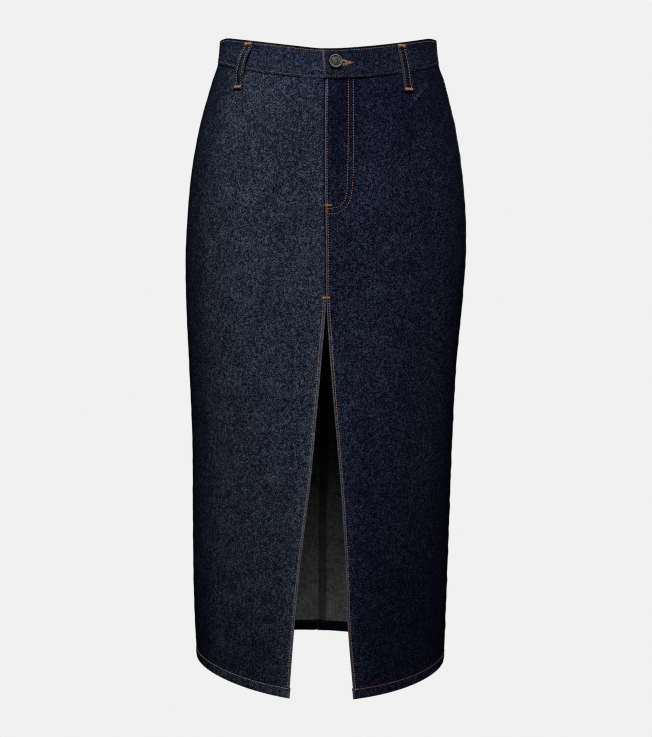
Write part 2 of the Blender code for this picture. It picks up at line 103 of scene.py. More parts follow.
# each line of the skirt by quarter: height at the middle, height at the side, power between
bandTopLine = {"frontLeft": (-0.0060, 0.0210, 1.38), "frontRight": (-0.0060, 0.0200, 1.12),
               "backLeft": (0.0130, 0.0155, 2.0), "backRight": (0.0130, 0.0145, 2.0)}
bandBottomLine = {"frontLeft": (-0.0450, -0.0145, 1.55), "frontRight": (-0.0450, -0.0130, 1.38),
                  "backLeft": (-0.0210, -0.0145, 2.0), "backRight": (-0.0210, -0.0130, 2.0)}
hemLine = {"frontLeft": (-0.8425, -0.8260, 2.2), "frontRight": (-0.8425, -0.8205, 1.3),
           "backLeft": (-0.8185, -0.8260, 0.9), "backRight": (-0.8185, -0.8205, 1.5)}

# the larger folds and then the small creases of each half: from X and height, to X and height,
# rise (a trough where negative), spread
folds = {
    "front": (
        (0.090, -0.088, 0.040, -0.262, 0.0030, 0.014),
        (0.052, -0.070, 0.040, -0.185, -0.0020, 0.012),
        (0.104, -0.078, 0.132, -0.044, 0.0012, 0.006),
        (-0.118, -0.100, -0.128, -0.250, 0.0020, 0.020),
        (-0.060, -0.215, -0.082, -0.430, -0.0018, 0.024),
        (-0.112, -0.420, -0.098, -0.780, 0.0022, 0.024),
        (0.084, -0.330, 0.096, -0.720, 0.0020, 0.026),
        (0.128, -0.250, 0.134, -0.560, -0.0016, 0.020),
        (0.014, -0.060, 0.015, -0.185, -0.0007, 0.007),
        (0.122, -0.062, 0.146, -0.040, -0.0007, 0.004),
        (0.058, -0.165, 0.030, -0.232, 0.0006, 0.006),
        (0.070, -0.150, 0.045, -0.215, -0.0006, 0.006),
        (0.150, -0.110, 0.168, -0.090, 0.0007, 0.005),
        (0.152, -0.150, 0.176, -0.136, 0.0006, 0.006),
        (0.156, -0.190, 0.180, -0.180, 0.0005, 0.006),
        (-0.150, -0.080, -0.138, -0.056, 0.0006, 0.005),
        (-0.040, -0.070, -0.052, -0.130, 0.0005, 0.008),
        (-0.080, -0.060, -0.088, -0.110, -0.0005, 0.007),
        (-0.150, -0.300, -0.120, -0.345, 0.0006, 0.010),
        (0.140, -0.345, 0.110, -0.380, 0.0006, 0.010),
        (-0.020, -0.330, -0.046, -0.420, 0.0007, 0.010),
        (0.018, -0.330, 0.040, -0.410, 0.0007, 0.010),
    ),
    "back": (
        (-0.100, -0.075, -0.048, -0.150, 0.0016, 0.014),
        (0.098, -0.070, 0.056, -0.140, 0.0018, 0.013),
        (-0.070, -0.290, -0.095, -0.640, 0.0026, 0.024),
        (0.074, -0.310, 0.088, -0.700, 0.0024, 0.026),
        (-0.040, -0.330, -0.052, -0.560, -0.0020, 0.016),
        (0.118, -0.240, 0.128, -0.520, -0.0018, 0.020),
        (-0.052, -0.720, -0.056, -0.860, 0.0060, 0.030),
        (-0.030, -0.060, -0.022, -0.110, 0.0006, 0.007),
        (0.034, -0.055, 0.024, -0.115, 0.0006, 0.007),
        (-0.150, -0.110, -0.120, -0.150, -0.0006, 0.008),
        (0.148, -0.115, 0.118, -0.160, -0.0006, 0.008),
        (-0.120, -0.270, -0.060, -0.262, 0.0009, 0.012),
        (0.118, -0.276, 0.056, -0.266, 0.0009, 0.012),
        (-0.100, -0.300, -0.050, -0.296, -0.0007, 0.010),
        (0.104, -0.306, 0.050, -0.300, -0.0007, 0.010),
    ),
}


def readTable(rows, names, column, height):
    # a smooth curve through one column of a table whose first column falls
    knots = np.array([row[0] for row in rows])[::-1]
    values = np.array([row[names.index(column)] for row in rows])[::-1]
    slopes = np.gradient(values, knots)
    z = np.clip(height, knots[0], knots[-1])
    i = np.clip(np.searchsorted(knots, z) - 1, 0, len(knots) - 2)
    span = knots[i + 1] - knots[i]
    t = (z - knots[i]) / span
    start = (2 * t**3 - 3 * t**2 + 1) * values[i] + (t**3 - 2 * t**2 + t) * span * slopes[i]
    end = (3 * t**2 - 2 * t**3) * values[i + 1] + (t**3 - t**2) * span * slopes[i + 1]
    return start + end


def section(column, z):
    return readTable(skirtSections, sectionNames, column, z)


def oval(half, z, angle):
    a, b, n = (section(name, z) for name in ("halfWidth", half, half + "Power"))
    across, ahead = np.abs(np.sin(angle)), np.abs(np.cos(angle))
    radius = ((across / a) ** n + (ahead / b) ** n) ** (-1 / n)
    x, y = radius * across, radius * ahead
    return x, y, unit(np.stack([(x / a) ** (n - 1) / a, (y / b) ** (n - 1) / b], axis=-1))


def quarterArc(half, z, steps=40):
    angle = np.linspace(0, math.pi / 2, steps)
    x, y, _ = oval(half, np.asarray(z, float)[..., None], angle)
    step = np.hypot(np.diff(x, axis=-1), np.diff(y, axis=-1))
    arc = np.concatenate([np.zeros(step.shape[:-1] + (1,)), np.cumsum(step, axis=-1)], axis=-1)
    return angle, x, arc


def lookUp(value, table, result):
    i = np.clip((table < value[..., None]).sum(-1), 1, table.shape[-1] - 1)[..., None]
    low, high = (np.take_along_axis(table, k, -1)[..., 0] for k in (i - 1, i))
    r = np.broadcast_to(result, table.shape)
    start, end = (np.take_along_axis(r, k, -1)[..., 0] for k in (i - 1, i))
    return start + (end - start) * np.clip((value - low) / (high - low), 0, 1)


def sideLength(half, z):
    return quarterArc(half, z)[2][..., -1]


def arcAt(half, x, z):
    x, z = np.broadcast_arrays(np.asarray(x, float), np.asarray(z, float))
    _, xs, arc = quarterArc(half, z)
    off = x - section("sway", z)
    return np.sign(off) * lookUp(np.abs(off), xs, arc)


def smoothStep(value, start, end):
    t = np.clip((value - start) / (end - start), 0, 1)
    return t * t * (3 - 2 * t)


def fadeOut(value, start, end):
    return 1 - smoothStep(value, start, end)


def bell(gap, width, power=2):
    return np.exp(-((gap / width) ** power))


def unit(v):
    return v / np.maximum(np.linalg.norm(v, axis=-1, keepdims=True), 1e-12)


def lengthsAlong(points):
    return np.concatenate([[0], np.cumsum(np.linalg.norm(np.diff(points, axis=0), axis=1))])


def foldLift(half, x, z):
    lift = np.zeros(np.broadcast(x, z).shape)
    for x0, z0, x1, z1, rise, spread in folds[half]:
        dx, dz = x1 - x0, z1 - z0
        along = ((x - x0) * dx + (z - z0) * dz) / (dx * dx + dz * dz)
        across = ((x - x0) * dz - (z - z0) * dx) / math.hypot(dx, dz)
        lift += rise * smoothStep(along, -0.25, 0.2) * fadeOut(along, 0.75, 1.25) * bell(across, spread)
    return lift


def surface(half, w, z, offset=0.0):
    w, z, offset = np.broadcast_arrays(*(np.asarray(v, float) for v in (w, z, offset)))
    angle, _, arc = quarterArc(half, z)
    x, y, out = oval(half, z, lookUp(np.abs(w), arc, angle))
    x = section("sway", z) + np.sign(w) * x
    lift = foldLift(half, x, z) + offset
    facing = -1 if half == "front" else 1
    return np.stack([x + np.sign(w) * out[..., 0] * lift, facing * (y + out[..., 1] * lift), z], axis=-1)


def lineHeight(line, half, share):
    tip = 0.06  # the line rounds off at its middle
    along = (np.hypot(share, tip) - tip) / (math.hypot(1, tip) - tip)
    heights = {}
    for name, (middle, side, power) in line.items():
        heights[name] = middle + (side - middle) * np.clip(along, 0, 1) ** power
    return np.where(np.asarray(share) > 0, heights[half + "Left"], heights[half + "Right"])


def ripple(t, seed):
    waves = ((0.0113, 1.0), (0.0177, 0.8), (0.0072, 0.5), (0.031, 0.7))  # length and strength
    total = 0
    for k, (length, strength) in enumerate(waves):
        total = total + strength * np.sin(math.tau * t / length + seed * (3.1 + k))
    return total / 2


def clothFrame(half, w, z, lift):
    # places on the cloth, and the way out from each
    step = 0.0007
    across = surface(half, w + step, z, lift(w + step, z)) - surface(half, w - step, z, lift(w - step, z))
    up = surface(half, w, z + step, lift(w, z + step)) - surface(half, w, z - step, lift(w, z - step))
    out = np.cross(across, up) * (1 if half == "front" else -1)
    return surface(half, w, z, lift(w, z)), unit(out)


def smoothPath(points, count=200):
    # an even curve through a few points
    points = np.array(points, float)
    at = lengthsAlong(points)
    rows = [(a, *p) for a, p in zip(at, points)][::-1]
    names = ["at"] + [str(k) for k in range(points.shape[1])]
    t = np.linspace(0, at[-1], count)
    return np.stack([readTable(rows, names, name, t) for name in names[1:]], axis=-1)


# Materials


def setInput(tree, socket, value):
    if isinstance(value, bpy.types.NodeSocket):
        tree.links.new(value, socket)
    else:
        socket.default_value = value


def addNode(tree, kind, inputs=None, **settings):
    # each new node goes below the one before, six to a column
    column, row = divmod(len(tree.nodes), 6)
    node = tree.nodes.new(kind)
    node.location = (240 * column, -240 * row)
    for name, value in settings.items():
        setattr(node, name, value)
    for name, value in (inputs or {}).items():
        setInput(tree, node.inputs[name], value)
    return node


def mathNode(tree, operation, *values, clamp=False):
    inputs = dict(enumerate(values))
    return addNode(tree, "ShaderNodeMath", inputs, operation=operation, use_clamp=clamp).outputs[0]


def mixColours(tree, factor, first, second):
    inputs = {0: factor, 6: first, 7: second}
    return addNode(tree, "ShaderNodeMix", inputs, data_type="RGBA").outputs[2]


def noise(tree, vector, scale, detail=2.0):
    stretched = addNode(tree, "ShaderNodeMapping", {"Scale": scale, "Vector": vector}).outputs[0]
    inputs = {"Scale": 1.0, "Detail": detail, "Vector": stretched}
    return addNode(tree, "ShaderNodeTexNoise", inputs).outputs["Fac"]


def mapRange(tree, value, fromLow, fromHigh, toLow, toHigh, smooth=False):
    inputs = {"Value": value, "From Min": fromLow, "From Max": fromHigh, "To Min": toLow, "To Max": toHigh}
    kind = "SMOOTHSTEP" if smooth else "LINEAR"
    return addNode(tree, "ShaderNodeMapRange", inputs, interpolation_type=kind).outputs[0]


weave = {
    "warps": 2000.0,  # yarns a metre
    "wefts": 1550.0,
    "wander": 2.4,  # how many yarns the threads stray by
    "bundle": 1.4,  # yarns that have faded alike
    "specks": (0.53, 1.0),  # the range of chance over which a bundle turns pale
    # noise's scale and detail, the range of it that counts, and the shades that it gives
    "clumps": ((190, 160, 1), 3.0, 0.33, 0.67, 0.42, 1.58),
    "slubs": ((760, 34, 1), 2.0, 0.3, 0.7, 0.70, 1.30),
    "mottle": ((42, 34, 1), 3.0, 0.3, 0.7, 0.72, 1.28),
    "worn": (0.29, 0.315, 0.37),
    "relief": 0.5,
    "reliefDepth": 0.00040,
    "gloss": 0.02,
    "sheen": 0.005,
}


def makeDenimGroup():
    # twill on a UV map in metres: dark warp floats with flecks of the pale weft between them,
    # thick and thin yarns, mottling, and worn folds with a painted highlight along them
    group = bpy.data.node_groups.new("denimWeave", "ShaderNodeTree")
    for name, kind in (("Cloth", "Vector"), ("Dark Yarn", "Color"), ("Pale Yarn", "Color"), ("Worn And Highlight", "Color"),
                       ("Paleness", "Float"), ("Wear And Highlight", "Float"), ("Tone", "Float"), ("Softness", "Float")):
        group.interface.new_socket(name, in_out="INPUT", socket_type="NodeSocket" + kind)
    for name, kind in (("Color", "Color"), ("Relief", "Float"), ("Roughness", "Float")):
        group.interface.new_socket(name, in_out="OUTPUT", socket_type="NodeSocket" + kind)
    given = addNode(group, "NodeGroupInput").outputs
    result = addNode(group, "NodeGroupOutput").inputs
    place, softness = given["Cloth"], given["Softness"]

    def work(operation, *values):
        return mathNode(group, operation, *values)

    def join(x, y):
        return addNode(group, "ShaderNodeCombineXYZ", {0: x, 1: y}).outputs[0]

    def chance(spot):
        made = addNode(group, "ShaderNodeTexWhiteNoise", {"Vector": spot}, noise_dimensions="2D")
        return made.outputs["Value"]

    def patches(scale, detail, *ranges):
        return mapRange(group, noise(group, place, scale, detail), *ranges)

    wander = work("MULTIPLY", noise(group, place, (430, 310, 1), 1.0), weave["wander"])
    axes = addNode(group, "ShaderNodeSeparateXYZ", {0: place}).outputs
    warp = work("MULTIPLY_ADD", axes[0], weave["warps"], wander)
    weft = work("MULTIPLY_ADD", axes[1], weave["wefts"], wander)
    column, row = work("FLOOR", warp), work("FLOOR", weft)
    weftUp = work("LESS_THAN", work("FLOORED_MODULO", work("ADD", column, row), 4.0), 0.5)
    crossing = chance(join(column, row))
    bundles = {0: join(warp, weft), "Scale": 1 / weave["bundle"]}
    bundle = addNode(group, "ShaderNodeVectorMath", bundles, operation="SCALE").outputs[0]
    bundle = addNode(group, "ShaderNodeVectorMath", {0: bundle}, operation="FLOOR").outputs[0]
    speck = mapRange(group, chance(bundle), *weave["specks"], 0.0, 1.0)
    clump, slub, mottle = (patches(*weave[kind]) for kind in ("clumps", "slubs", "mottle"))
    fleck = work("MULTIPLY", weftUp, mapRange(group, crossing, 0, 1, 0.25, 2.0))
    pale = work("MULTIPLY_ADD", fleck, 0.9, 0.55)
    crisp = work("SUBTRACT", 1.0, softness)
    ground = work("MULTIPLY_ADD", speck, crisp, softness)
    streaks = work("MULTIPLY_ADD", work("MULTIPLY", clump, slub), crisp, softness)
    for share in (ground, streaks, mottle, given["Paleness"], work("ADD", given["Tone"], 1.0)):
        pale = work("MULTIPLY", pale, share)
    colour = mixColours(group, work("MINIMUM", pale, 1.0), given["Dark Yarn"], given["Pale Yarn"])
    worn = work("MULTIPLY", given["Wear And Highlight"], mapRange(group, speck, 0, 1, 0.42, 1.0))
    relief = work("MULTIPLY_ADD", work("SUBTRACT", 1.0, weftUp), 0.5, work("PINGPONG", warp, 0.5))
    setInput(group, result["Color"], mixColours(group, worn, colour, given["Worn And Highlight"]))
    setInput(group, result["Relief"], work("MULTIPLY_ADD", speck, 0.8, relief))
    setInput(group, result["Roughness"], mapRange(group, speck, 0, 1, 0.74, 0.60))
    return group


def readAttribute(tree, name):
    return addNode(tree, "ShaderNodeAttribute", attribute_name=name).outputs["Fac"]


def startMaterial(name):
    material = bpy.data.materials.new(name)
    material.use_nodes = True
    return material, material.node_tree


def dressShader(tree, height, strength, distance, sockets):
    # sets or links the shader's own sockets, over a bump
    inputs = {"Strength": strength, "Distance": distance, "Height": height}
    bump = addNode(tree, "ShaderNodeBump", inputs).outputs["Normal"]
    for name, value in {**sockets, "Normal": bump}.items():
        setInput(tree, tree.nodes["Principled BSDF"].inputs[name], value)


denimGroup = makeDenimGroup()
# leftFront and upperBand are darker copies of the denim of rightFront and lowerBand: painted shade on the
# wearer's left, which catches less of the light
denimLooks = {  # dark yarn, pale yarn, paleness, softness
    "rightFront": ((0.0012, 0.0019, 0.0145), (0.166, 0.200, 0.266), 0.935, 0.06),
    "leftFront": ((0.0018, 0.0014, 0.0118), (0.095, 0.117, 0.186), 0.84, 0.02),
    "backs": ((0.0012, 0.0019, 0.0130), (0.121, 0.151, 0.220), 1.05, 0.02),
    "lowerBand": ((0.0012, 0.0020, 0.0084), (0.104, 0.132, 0.218), 0.92, 0.08),
    "upperBand": ((0.0010, 0.0014, 0.0076), (0.086, 0.102, 0.168), 0.64, 0.06),
    "wrongSide": ((0.040, 0.046, 0.046), (0.660, 0.705, 0.655), 0.92, 0.42),
}


def makeDenim(name):
    dark, pale, paleness, softness = denimLooks[name]
    material, tree = startMaterial(name + "Denim")
    uv = addNode(tree, "ShaderNodeTexCoord").outputs["UV"]
    wearAndHighlight, tone = readAttribute(tree, "wearAndHighlight"), readAttribute(tree, "tone")
    inputs = {"Cloth": uv, "Wear And Highlight": wearAndHighlight, "Tone": tone, "Worn And Highlight": (*weave["worn"], 1), "Dark Yarn": (*dark, 1),
              "Pale Yarn": (*pale, 1), "Paleness": paleness, "Softness": softness}
    woven = addNode(tree, "ShaderNodeGroup", inputs, node_tree=denimGroup).outputs
    dressShader(tree, woven["Relief"], weave["relief"], weave["reliefDepth"], {
        "Base Color": woven["Color"], "Roughness": woven["Roughness"], "Specular IOR Level": weave["gloss"],
        "Sheen Weight": weave["sheen"], "Sheen Roughness": 0.5})
    return material


threadLooks = {  # light and dark strands
    "copper": ((0.47, 0.275, 0.195), (0.23, 0.110, 0.075)),
    "bright": ((0.64, 0.370, 0.250), (0.27, 0.125, 0.080)),
    "dull": ((0.27, 0.190, 0.165), (0.13, 0.075, 0.065)),
    "amber": ((0.56, 0.265, 0.110), (0.20, 0.070, 0.022)),
    "sand": ((0.46, 0.340, 0.300), (0.24, 0.150, 0.125)),
    "rust": ((0.30, 0.150, 0.145), (0.15, 0.055, 0.055)),
    "brown": ((0.27, 0.130, 0.055), (0.13, 0.055, 0.022)),
    # stitches that lie in shade take this dark thread: painted shade
    "dyed": ((0.060, 0.050, 0.052), (0.016, 0.014, 0.022)),
}


def makeThread(name):
    light, dark = threadLooks[name]
    material, tree = startMaterial(name + "Thread")
    uv = addNode(tree, "ShaderNodeTexCoord").outputs["UV"]
    tint = readAttribute(tree, "tint")
    strands = {"Scale": 1.9, "Vector": uv}
    twist = addNode(tree, "ShaderNodeTexWave", strands, bands_direction="DIAGONAL").outputs["Fac"]
    share = mathNode(tree, "ADD", mathNode(tree, "MULTIPLY", twist, 0.45), tint, clamp=True)
    colour = mixColours(tree, share, (*light, 1), (*dark, 1))
    dressShader(tree, twist, 0.6, 0.0001, {"Base Color": colour, "Roughness": 0.6, "Sheen Weight": 0.15})
    return material


metalLooks = {  # low and high colour, range of roughness, metallic
    "face": ((0.009, 0.010, 0.009), (0.030, 0.033, 0.027), (0.38, 0.52), 1.0),
    # the rim is bare, polished metal; its pale, half-metallic finish is a painted reflection of lights at the
    # sides
    "rim": ((0.16, 0.16, 0.165), (0.28, 0.28, 0.285), (0.34, 0.46), 0.35),
}


def makeMetal(name):
    low, high, rough, metallic = metalLooks[name]
    material, tree = startMaterial(name + "Nickel")
    place = addNode(tree, "ShaderNodeTexCoord").outputs["Object"]
    cloud, grit = (noise(tree, place, (scale,) * 3, detail) for scale, detail in ((260, 3.0), (2600, 2.0)))
    share = mapRange(tree, cloud, 0.35, 0.65, 0, 1, smooth=True)
    colour = mixColours(tree, share, (*low, 1), (*high, 1))
    roughness = mapRange(tree, grit, 0.3, 0.7, *rough)
    sockets = {"Base Color": colour, "Roughness": roughness, "Metallic": metallic}
    dressShader(tree, grit, 0.12, 0.0001, sockets)
    return material


denim = {name: makeDenim(name) for name in denimLooks}
thread = {name: makeThread(name) for name in threadLooks}
metal = {name: makeMetal(name) for name in metalLooks}
print("materials made")


# Mesh helpers


def readValues(items, name, kind=np.float32, width=1):
    values = np.empty(len(items) * width, kind)
    items.foreach_get(name, values)
    return values


def startGrid(name, columns, rows):
    bpy.ops.object.select_all(action="DESELECT")
    bpy.ops.mesh.primitive_grid_add(x_subdivisions=columns - 1, y_subdivisions=rows - 1, size=1)
    obj = bpy.context.active_object
    obj.name = obj.data.name = name
    return obj


def setPlaces(obj, places):
    obj.data.vertices.foreach_set("co", np.asarray(places, np.float32).ravel())
    obj.data.update()


def setUvs(obj, uvs):
    index = readValues(obj.data.loops, "vertex_index", np.int32)
    layer = obj.data.uv_layers.active or obj.data.uv_layers.new(name="UVMap")
    layer.data.foreach_set("uv", np.asarray(uvs, np.float32).reshape(-1, 2)[index].ravel())


def setAttribute(obj, name, values):
    made = obj.data.attributes.new(name, "FLOAT", "POINT")
    made.data.foreach_set("value", np.asarray(values, np.float32).ravel())


def editMesh(pick="VERT", **steps):
    # runs mesh operators on the active piece, with all of it selected before each
    bpy.context.tool_settings.mesh_select_mode = [kind == pick for kind in ("VERT", "EDGE", "FACE")]
    bpy.ops.object.mode_set(mode="EDIT")
    for name, settings in steps.items():
        bpy.ops.mesh.select_all(action="SELECT")
        getattr(bpy.ops.mesh, name)(**settings)
    bpy.ops.object.mode_set(mode="OBJECT")


def deleteFaces(obj, chosen):
    bpy.context.tool_settings.mesh_select_mode = (False, False, True)
    for items, picked in ((obj.data.vertices, False), (obj.data.edges, False), (obj.data.polygons, chosen)):
        items.foreach_set("select", np.full(len(items), picked, bool))
    bpy.ops.object.mode_set(mode="EDIT")
    bpy.ops.mesh.delete(type="FACE")
    bpy.ops.object.mode_set(mode="OBJECT")


def finishPiece(obj, materials, slot, *nodes, angle=50):
    for material in materials:
        obj.data.materials.append(material)
    bpy.ops.object.shade_smooth_by_angle(angle=math.radians(angle))
    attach(obj, "root")
    if nodes:
        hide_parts(*nodes)
    obj.select_set(False)
    print(obj.name, "made:", len(obj.data.polygons), "faces")


def clothTube(name, rings, uvs):
    # a closed tube of folded cloth through equal rings of places, capped at both ends
    stations, count = rings.shape[:2]
    obj = startGrid(name, count + 1, stations)
    setPlaces(obj, np.concatenate([rings, rings[:, :1]], axis=1))
    setUvs(obj, uvs)
    editMesh(remove_doubles={"threshold": 1e-6}, fill_holes={"sides": 0},
             normals_make_consistent={"inside": False})
    return obj


# Panels

# rows are the insets of the rows of stitches at the centre. lap is how far a panel is lifted, or
# sunk, where it laps there, and lapRun the insets between which that ends. lapFold deepens the
# hem there, and lapRaise raises its fold.
# sideShade is how much painted shade a panel takes towards its side seams
panels = {
    "front_left": {
        "half": "front", "side": 1, "look": "leftFront", "rows": ("slit",), "hemStart": 0.0032,
        "sidePucker": 0.00042, "sideShade": 0.30,
        "lap": 0.00075, "lapRun": (0.012, 0.026), "lapFold": 0.0, "lapRaise": 0.0},
    "front_right": {
        "half": "front", "side": -1, "look": "rightFront", "rows": ("slit",), "hemStart": 0.0032,
        "sidePucker": 0.00022, "sideShade": 0.52,
        "lap": -0.00150, "lapRun": (0.001, 0.011), "lapFold": 0.0, "lapRaise": 0.0},
    "back_left": {
        "half": "back", "side": 1, "look": "backs", "rows": (0.0013, 0.0086), "hemStart": 0.0008,
        "sidePucker": 0.00042, "sideShade": 0.25,
        "lap": 0.00110, "lapRun": (0.0095, 0.0150), "lapFold": 0.0022, "lapRaise": 0.0},
    "back_right": {
        "half": "back", "side": -1, "look": "backs", "rows": (0.0088, 0.0014), "hemStart": 0.0108,
        "sidePucker": 0.00022, "sideShade": 0.25,
        "lap": -0.00115, "lapRun": (0.0095, 0.0150), "lapFold": 0.00115, "lapRaise": 0.00115},
}
panels = {name: SimpleNamespace(name=name, **values) for name, values in panels.items()}

# columns of a front and of a back, in millimetres from the folded edge at the centre
frontInsets = (0.0, 0.6, 1.2, 1.72, 2.25, 2.9, 4.0, 5.2, 6.5, 8.0, 10.0, 12.0, 14.2, 16.5, 19.0, 21.5, 24.0,
               26.0, 27.0, 27.7, 28.4, 29.1, 30.0, 31.5, 33.0, 33.9, 34.6, 35.3, 36.2, 38.0, 40.5)
backInsets = (0.0, 0.45, 1.0, 1.9, 3.4, 5.0, 6.1, 6.95, 7.8, 9.2, 11.0, 13.5, 16.0)
# the row of stitches beside the slit and above it: height and inset
slitRow = ((-0.04, 0.0025), (-0.20, 0.0028), (-0.26, 0.0030), (-0.30, 0.0031), (-0.37, 0.0038),
           (-0.50, 0.0032), (-0.845, 0.0032))
# the fly's two rows, as X and height
flyRows = (
    ((0.0255, -0.0440), (0.0252, -0.1100), (0.0245, -0.1605), (0.0240, -0.1788), (0.0221, -0.1943),
     (0.0173, -0.2026), (0.0113, -0.2067), (0.0041, -0.2088), (-0.0012, -0.2096)),
    ((0.0316, -0.0440), (0.0317, -0.1100), (0.0316, -0.1605), (0.0301, -0.1845), (0.0270, -0.1990),
     (0.0210, -0.2086), (0.0125, -0.2140), (0.0028, -0.2157), (-0.0036, -0.2152)),
)
hem = {
    "depth": 0.015,
    "fold": 0.0032,  # thickness of its three layers
    "lipRadius": 0.00103,
    "stitch": 0.0130,
    "clear": 0.0152,  # the rise above which the edges of a panel are turned in
    "twist": 0.00030,  # of the ropy ridges in it
    "twistLength": 0.0085,
    "twistLean": 0.030,  # rise in which a ridge moves along by its own length
    "twistSway": 0.07,  # length over which the ridges draw closer and apart
    "flare": 0.0006,  # how far its corners stand out at the slit
    "lipRises": (0.0112, 0.0128),
    "innerRises": (0.0134, 0.0130, 0.0126, 0.0118, 0.0095, 0.0068, 0.0042),
    "outerRises": (0.0, 0.0028, 0.0048, 0.0072, 0.0096, 0.0112, 0.0122, 0.0127, 0.0130, 0.0134, 0.0140,
                   0.0150, 0.0153, 0.0170, 0.0195, 0.0225),
}


def flyPath(points):
    x, z = smoothPath(points).T
    return np.stack([arcAt("front", x, z), z], axis=-1)


flyPaths = [flyPath(row) for row in flyRows]
foldLength = math.pi * cloth["foldRadius"]


def centreEdge(panel, z):
    # arc length of a panel's edge at the centre front or back
    if panel.half == "back":
        return np.full(np.shape(z), -panel.side * cloth["backLap"])
    edge = arcAt("front", readTable(slitEdges, edgeNames, "left" if panel.side > 0 else "right", z), z)
    rise = z - lineHeight(hemLine, "front", 0.0001 * panel.side)
    return edge - panel.side * hem["flare"] * fadeOut(rise, 0.0135, 0.0155)


def rowInset(row, z):
    return readTable(slitRow, ("height", "inset"), "inset", z) if row == "slit" else row


def lapLift(panel, inset, z):
    lift = panel.lap * fadeOut(inset, *panel.lapRun)
    if panel.half == "back":
        return lift
    return lift * smoothStep(z, cloth["slitTop"] - cloth["lapFade"], cloth["slitTop"])


def nearPath(w, z, path):
    # distance from each place near the fly to a path, and how far along it the nearest point is
    best = np.full(np.shape(w), 1.0)
    along = np.zeros(np.shape(w))
    near = (w > 0.0) & (w < 0.045) & (z > -0.235) & (z < -0.03)
    gap = np.hypot(w[near][:, None] - path[:, 0], z[near][:, None] - path[:, 1])
    pick = gap.argmin(axis=1)
    best[near] = gap[np.arange(len(pick)), pick]
    along[near] = lengthsAlong(path)[pick]
    return best, along


def hemTwist(side, w, rise):
    ridges = math.tau * (w / hem["twistLength"] + rise / hem["twistLean"] * side)
    return np.sin(ridges + 1.5 * np.sin(math.tau * w / hem["twistSway"]))


def sewnRelief(gap, along, seed, spread, width=cloth["grooveWidth"], shown=1.0):
    # a row of stitches lies in a groove, and the cloth beside it puckers
    groove = cloth["grooveDepth"] * bell(gap, width) * shown
    return cloth["pucker"] * ripple(along, seed) * bell(gap, spread) - groove


def seamRelief(panel, w, z):
    side = panel.side
    inset = side * (w - centreEdge(panel, z))
    length = sideLength(panel.half, z)
    rise = z - lineHeight(hemLine, panel.half, np.clip(w / length, -1, 1))
    shown = smoothStep(rise, hem["stitch"] - 0.001, hem["stitch"])
    if panel.name == "front_right":
        shown = shown * fadeOut(z, cloth["slitTop"] - 0.002, cloth["slitTop"])
    relief = sewnRelief(rise - hem["stitch"], w, 0.7 + side, 0.005)
    for k, row in enumerate(panel.rows):
        relief += sewnRelief(inset - rowInset(row, z), z, 1.3 * side + k, 0.0045, shown=shown)
    inHem = fadeOut(rise, hem["stitch"] - 0.003, hem["stitch"]) * smoothStep(rise, 0.0005, 0.004)
    relief += hem["twist"] * hemTwist(side, w, rise) * inHem
    relief += panel.sidePucker * ripple(z * 0.55, 2.2 * side) * bell(length - np.abs(w), 0.011)
    if panel.name == "front_left":
        for k, path in enumerate(flyPaths):
            gap, along = nearPath(w, z, path)
            relief += 0.8 * sewnRelief(gap, along, 4.1 + k, 0.004, width=0.0009)
    return relief


def panelLift(panel, w, z):
    w, z = np.broadcast_arrays(np.asarray(w, float), np.asarray(z, float))
    return lapLift(panel, panel.side * (w - centreEdge(panel, z)), z) + seamRelief(panel, w, z)


def bend(s, bendLength, turn):
    # how far ahead and inward a strip reaches after it has bent through an angle
    inside = np.minimum(s, bendLength)
    beyond = np.maximum(s - bendLength, 0)
    a = turn / bendLength * inside
    ahead = inside * np.sinc(a / math.pi) + np.cos(turn) * beyond
    inward = inside * (a / 2) * np.sinc(a / 2 / math.pi) ** 2 + np.sin(turn) * beyond
    return ahead, inward


def centreFold(panel):
    # how a panel's edge at the centre turns in: angle, length of the bend, inset of its start
    if panel.name == "back_right":
        return -math.pi / 2, cloth["cutRadius"] * math.pi / 2, cloth["cutInset"]
    return math.pi, foldLength, cloth["foldRadius"]


def panelColumns(panel):
    # for each column: length past the centre's fold, inset from it, share of the way on to the
    # side's fold, and length past that
    if panel.name == "back_right":
        near = centreFold(panel)[1] * np.array([1.0, 0.66, 0.33])
    else:
        facing = cloth["facing"] if panel.half == "front" else cloth["backFacing"]
        near = np.concatenate([foldLength + facing * np.array([1.0, 0.78, 0.56, 0.36, 0.18, 0.06]),
                               foldLength * np.arange(6, 0, -1) / 6])
    insets = np.array(frontInsets if panel.half == "front" else backInsets) / 1000
    run = cloth["columnRun"] - insets[-1]
    even = np.arange(1, round(run / cloth["columnSpacing"])) * cloth["columnSpacing"] / run
    far = np.concatenate([even[even < 0.985], [0.9905, 0.996, 1.0]])
    past = np.concatenate([foldLength * np.arange(1, 7) / 6,
                           foldLength + cloth["allowance"] * np.array([0.1, 0.4, 0.7, 1.0])])
    blocks = ((near, 0, 0, 0), (0, insets, 0, 0), (0, insets[-1], far, 0), (0, insets[-1], 1, past))
    return [np.concatenate(column) for column in zip(*(np.broadcast_arrays(*block) for block in blocks))]


def hemRows():
    # the hem from the hidden edge of its turned-up layer, over its lip, down, round the fold and
    # up its face: rise above the fold, depth inwards (1 is its whole thickness), angle turned
    lip, top, fold = hem["lipRadius"], hem["depth"], hem["fold"]
    rows = [(rise, 1 - 2 * lip / fold, math.pi) for rise in hem["lipRises"]]
    for a in math.pi * np.arange(5, 0, -1) / 6:
        rows.append((top - lip + lip * math.sin(a), 1 - lip * (1 - math.cos(a)) / fold, math.pi))
    rows += [(rise, 1.0, math.pi) for rise in (top - lip, *hem["innerRises"])]
    rows += [(0.0, (1 - math.cos(a)) / 2, a) for a in math.pi * np.arange(8, 0, -1) / 8]
    rows += [(rise, 0.0, 0.0) for rise in hem["outerRises"]]
    return np.array(rows).T[..., None]


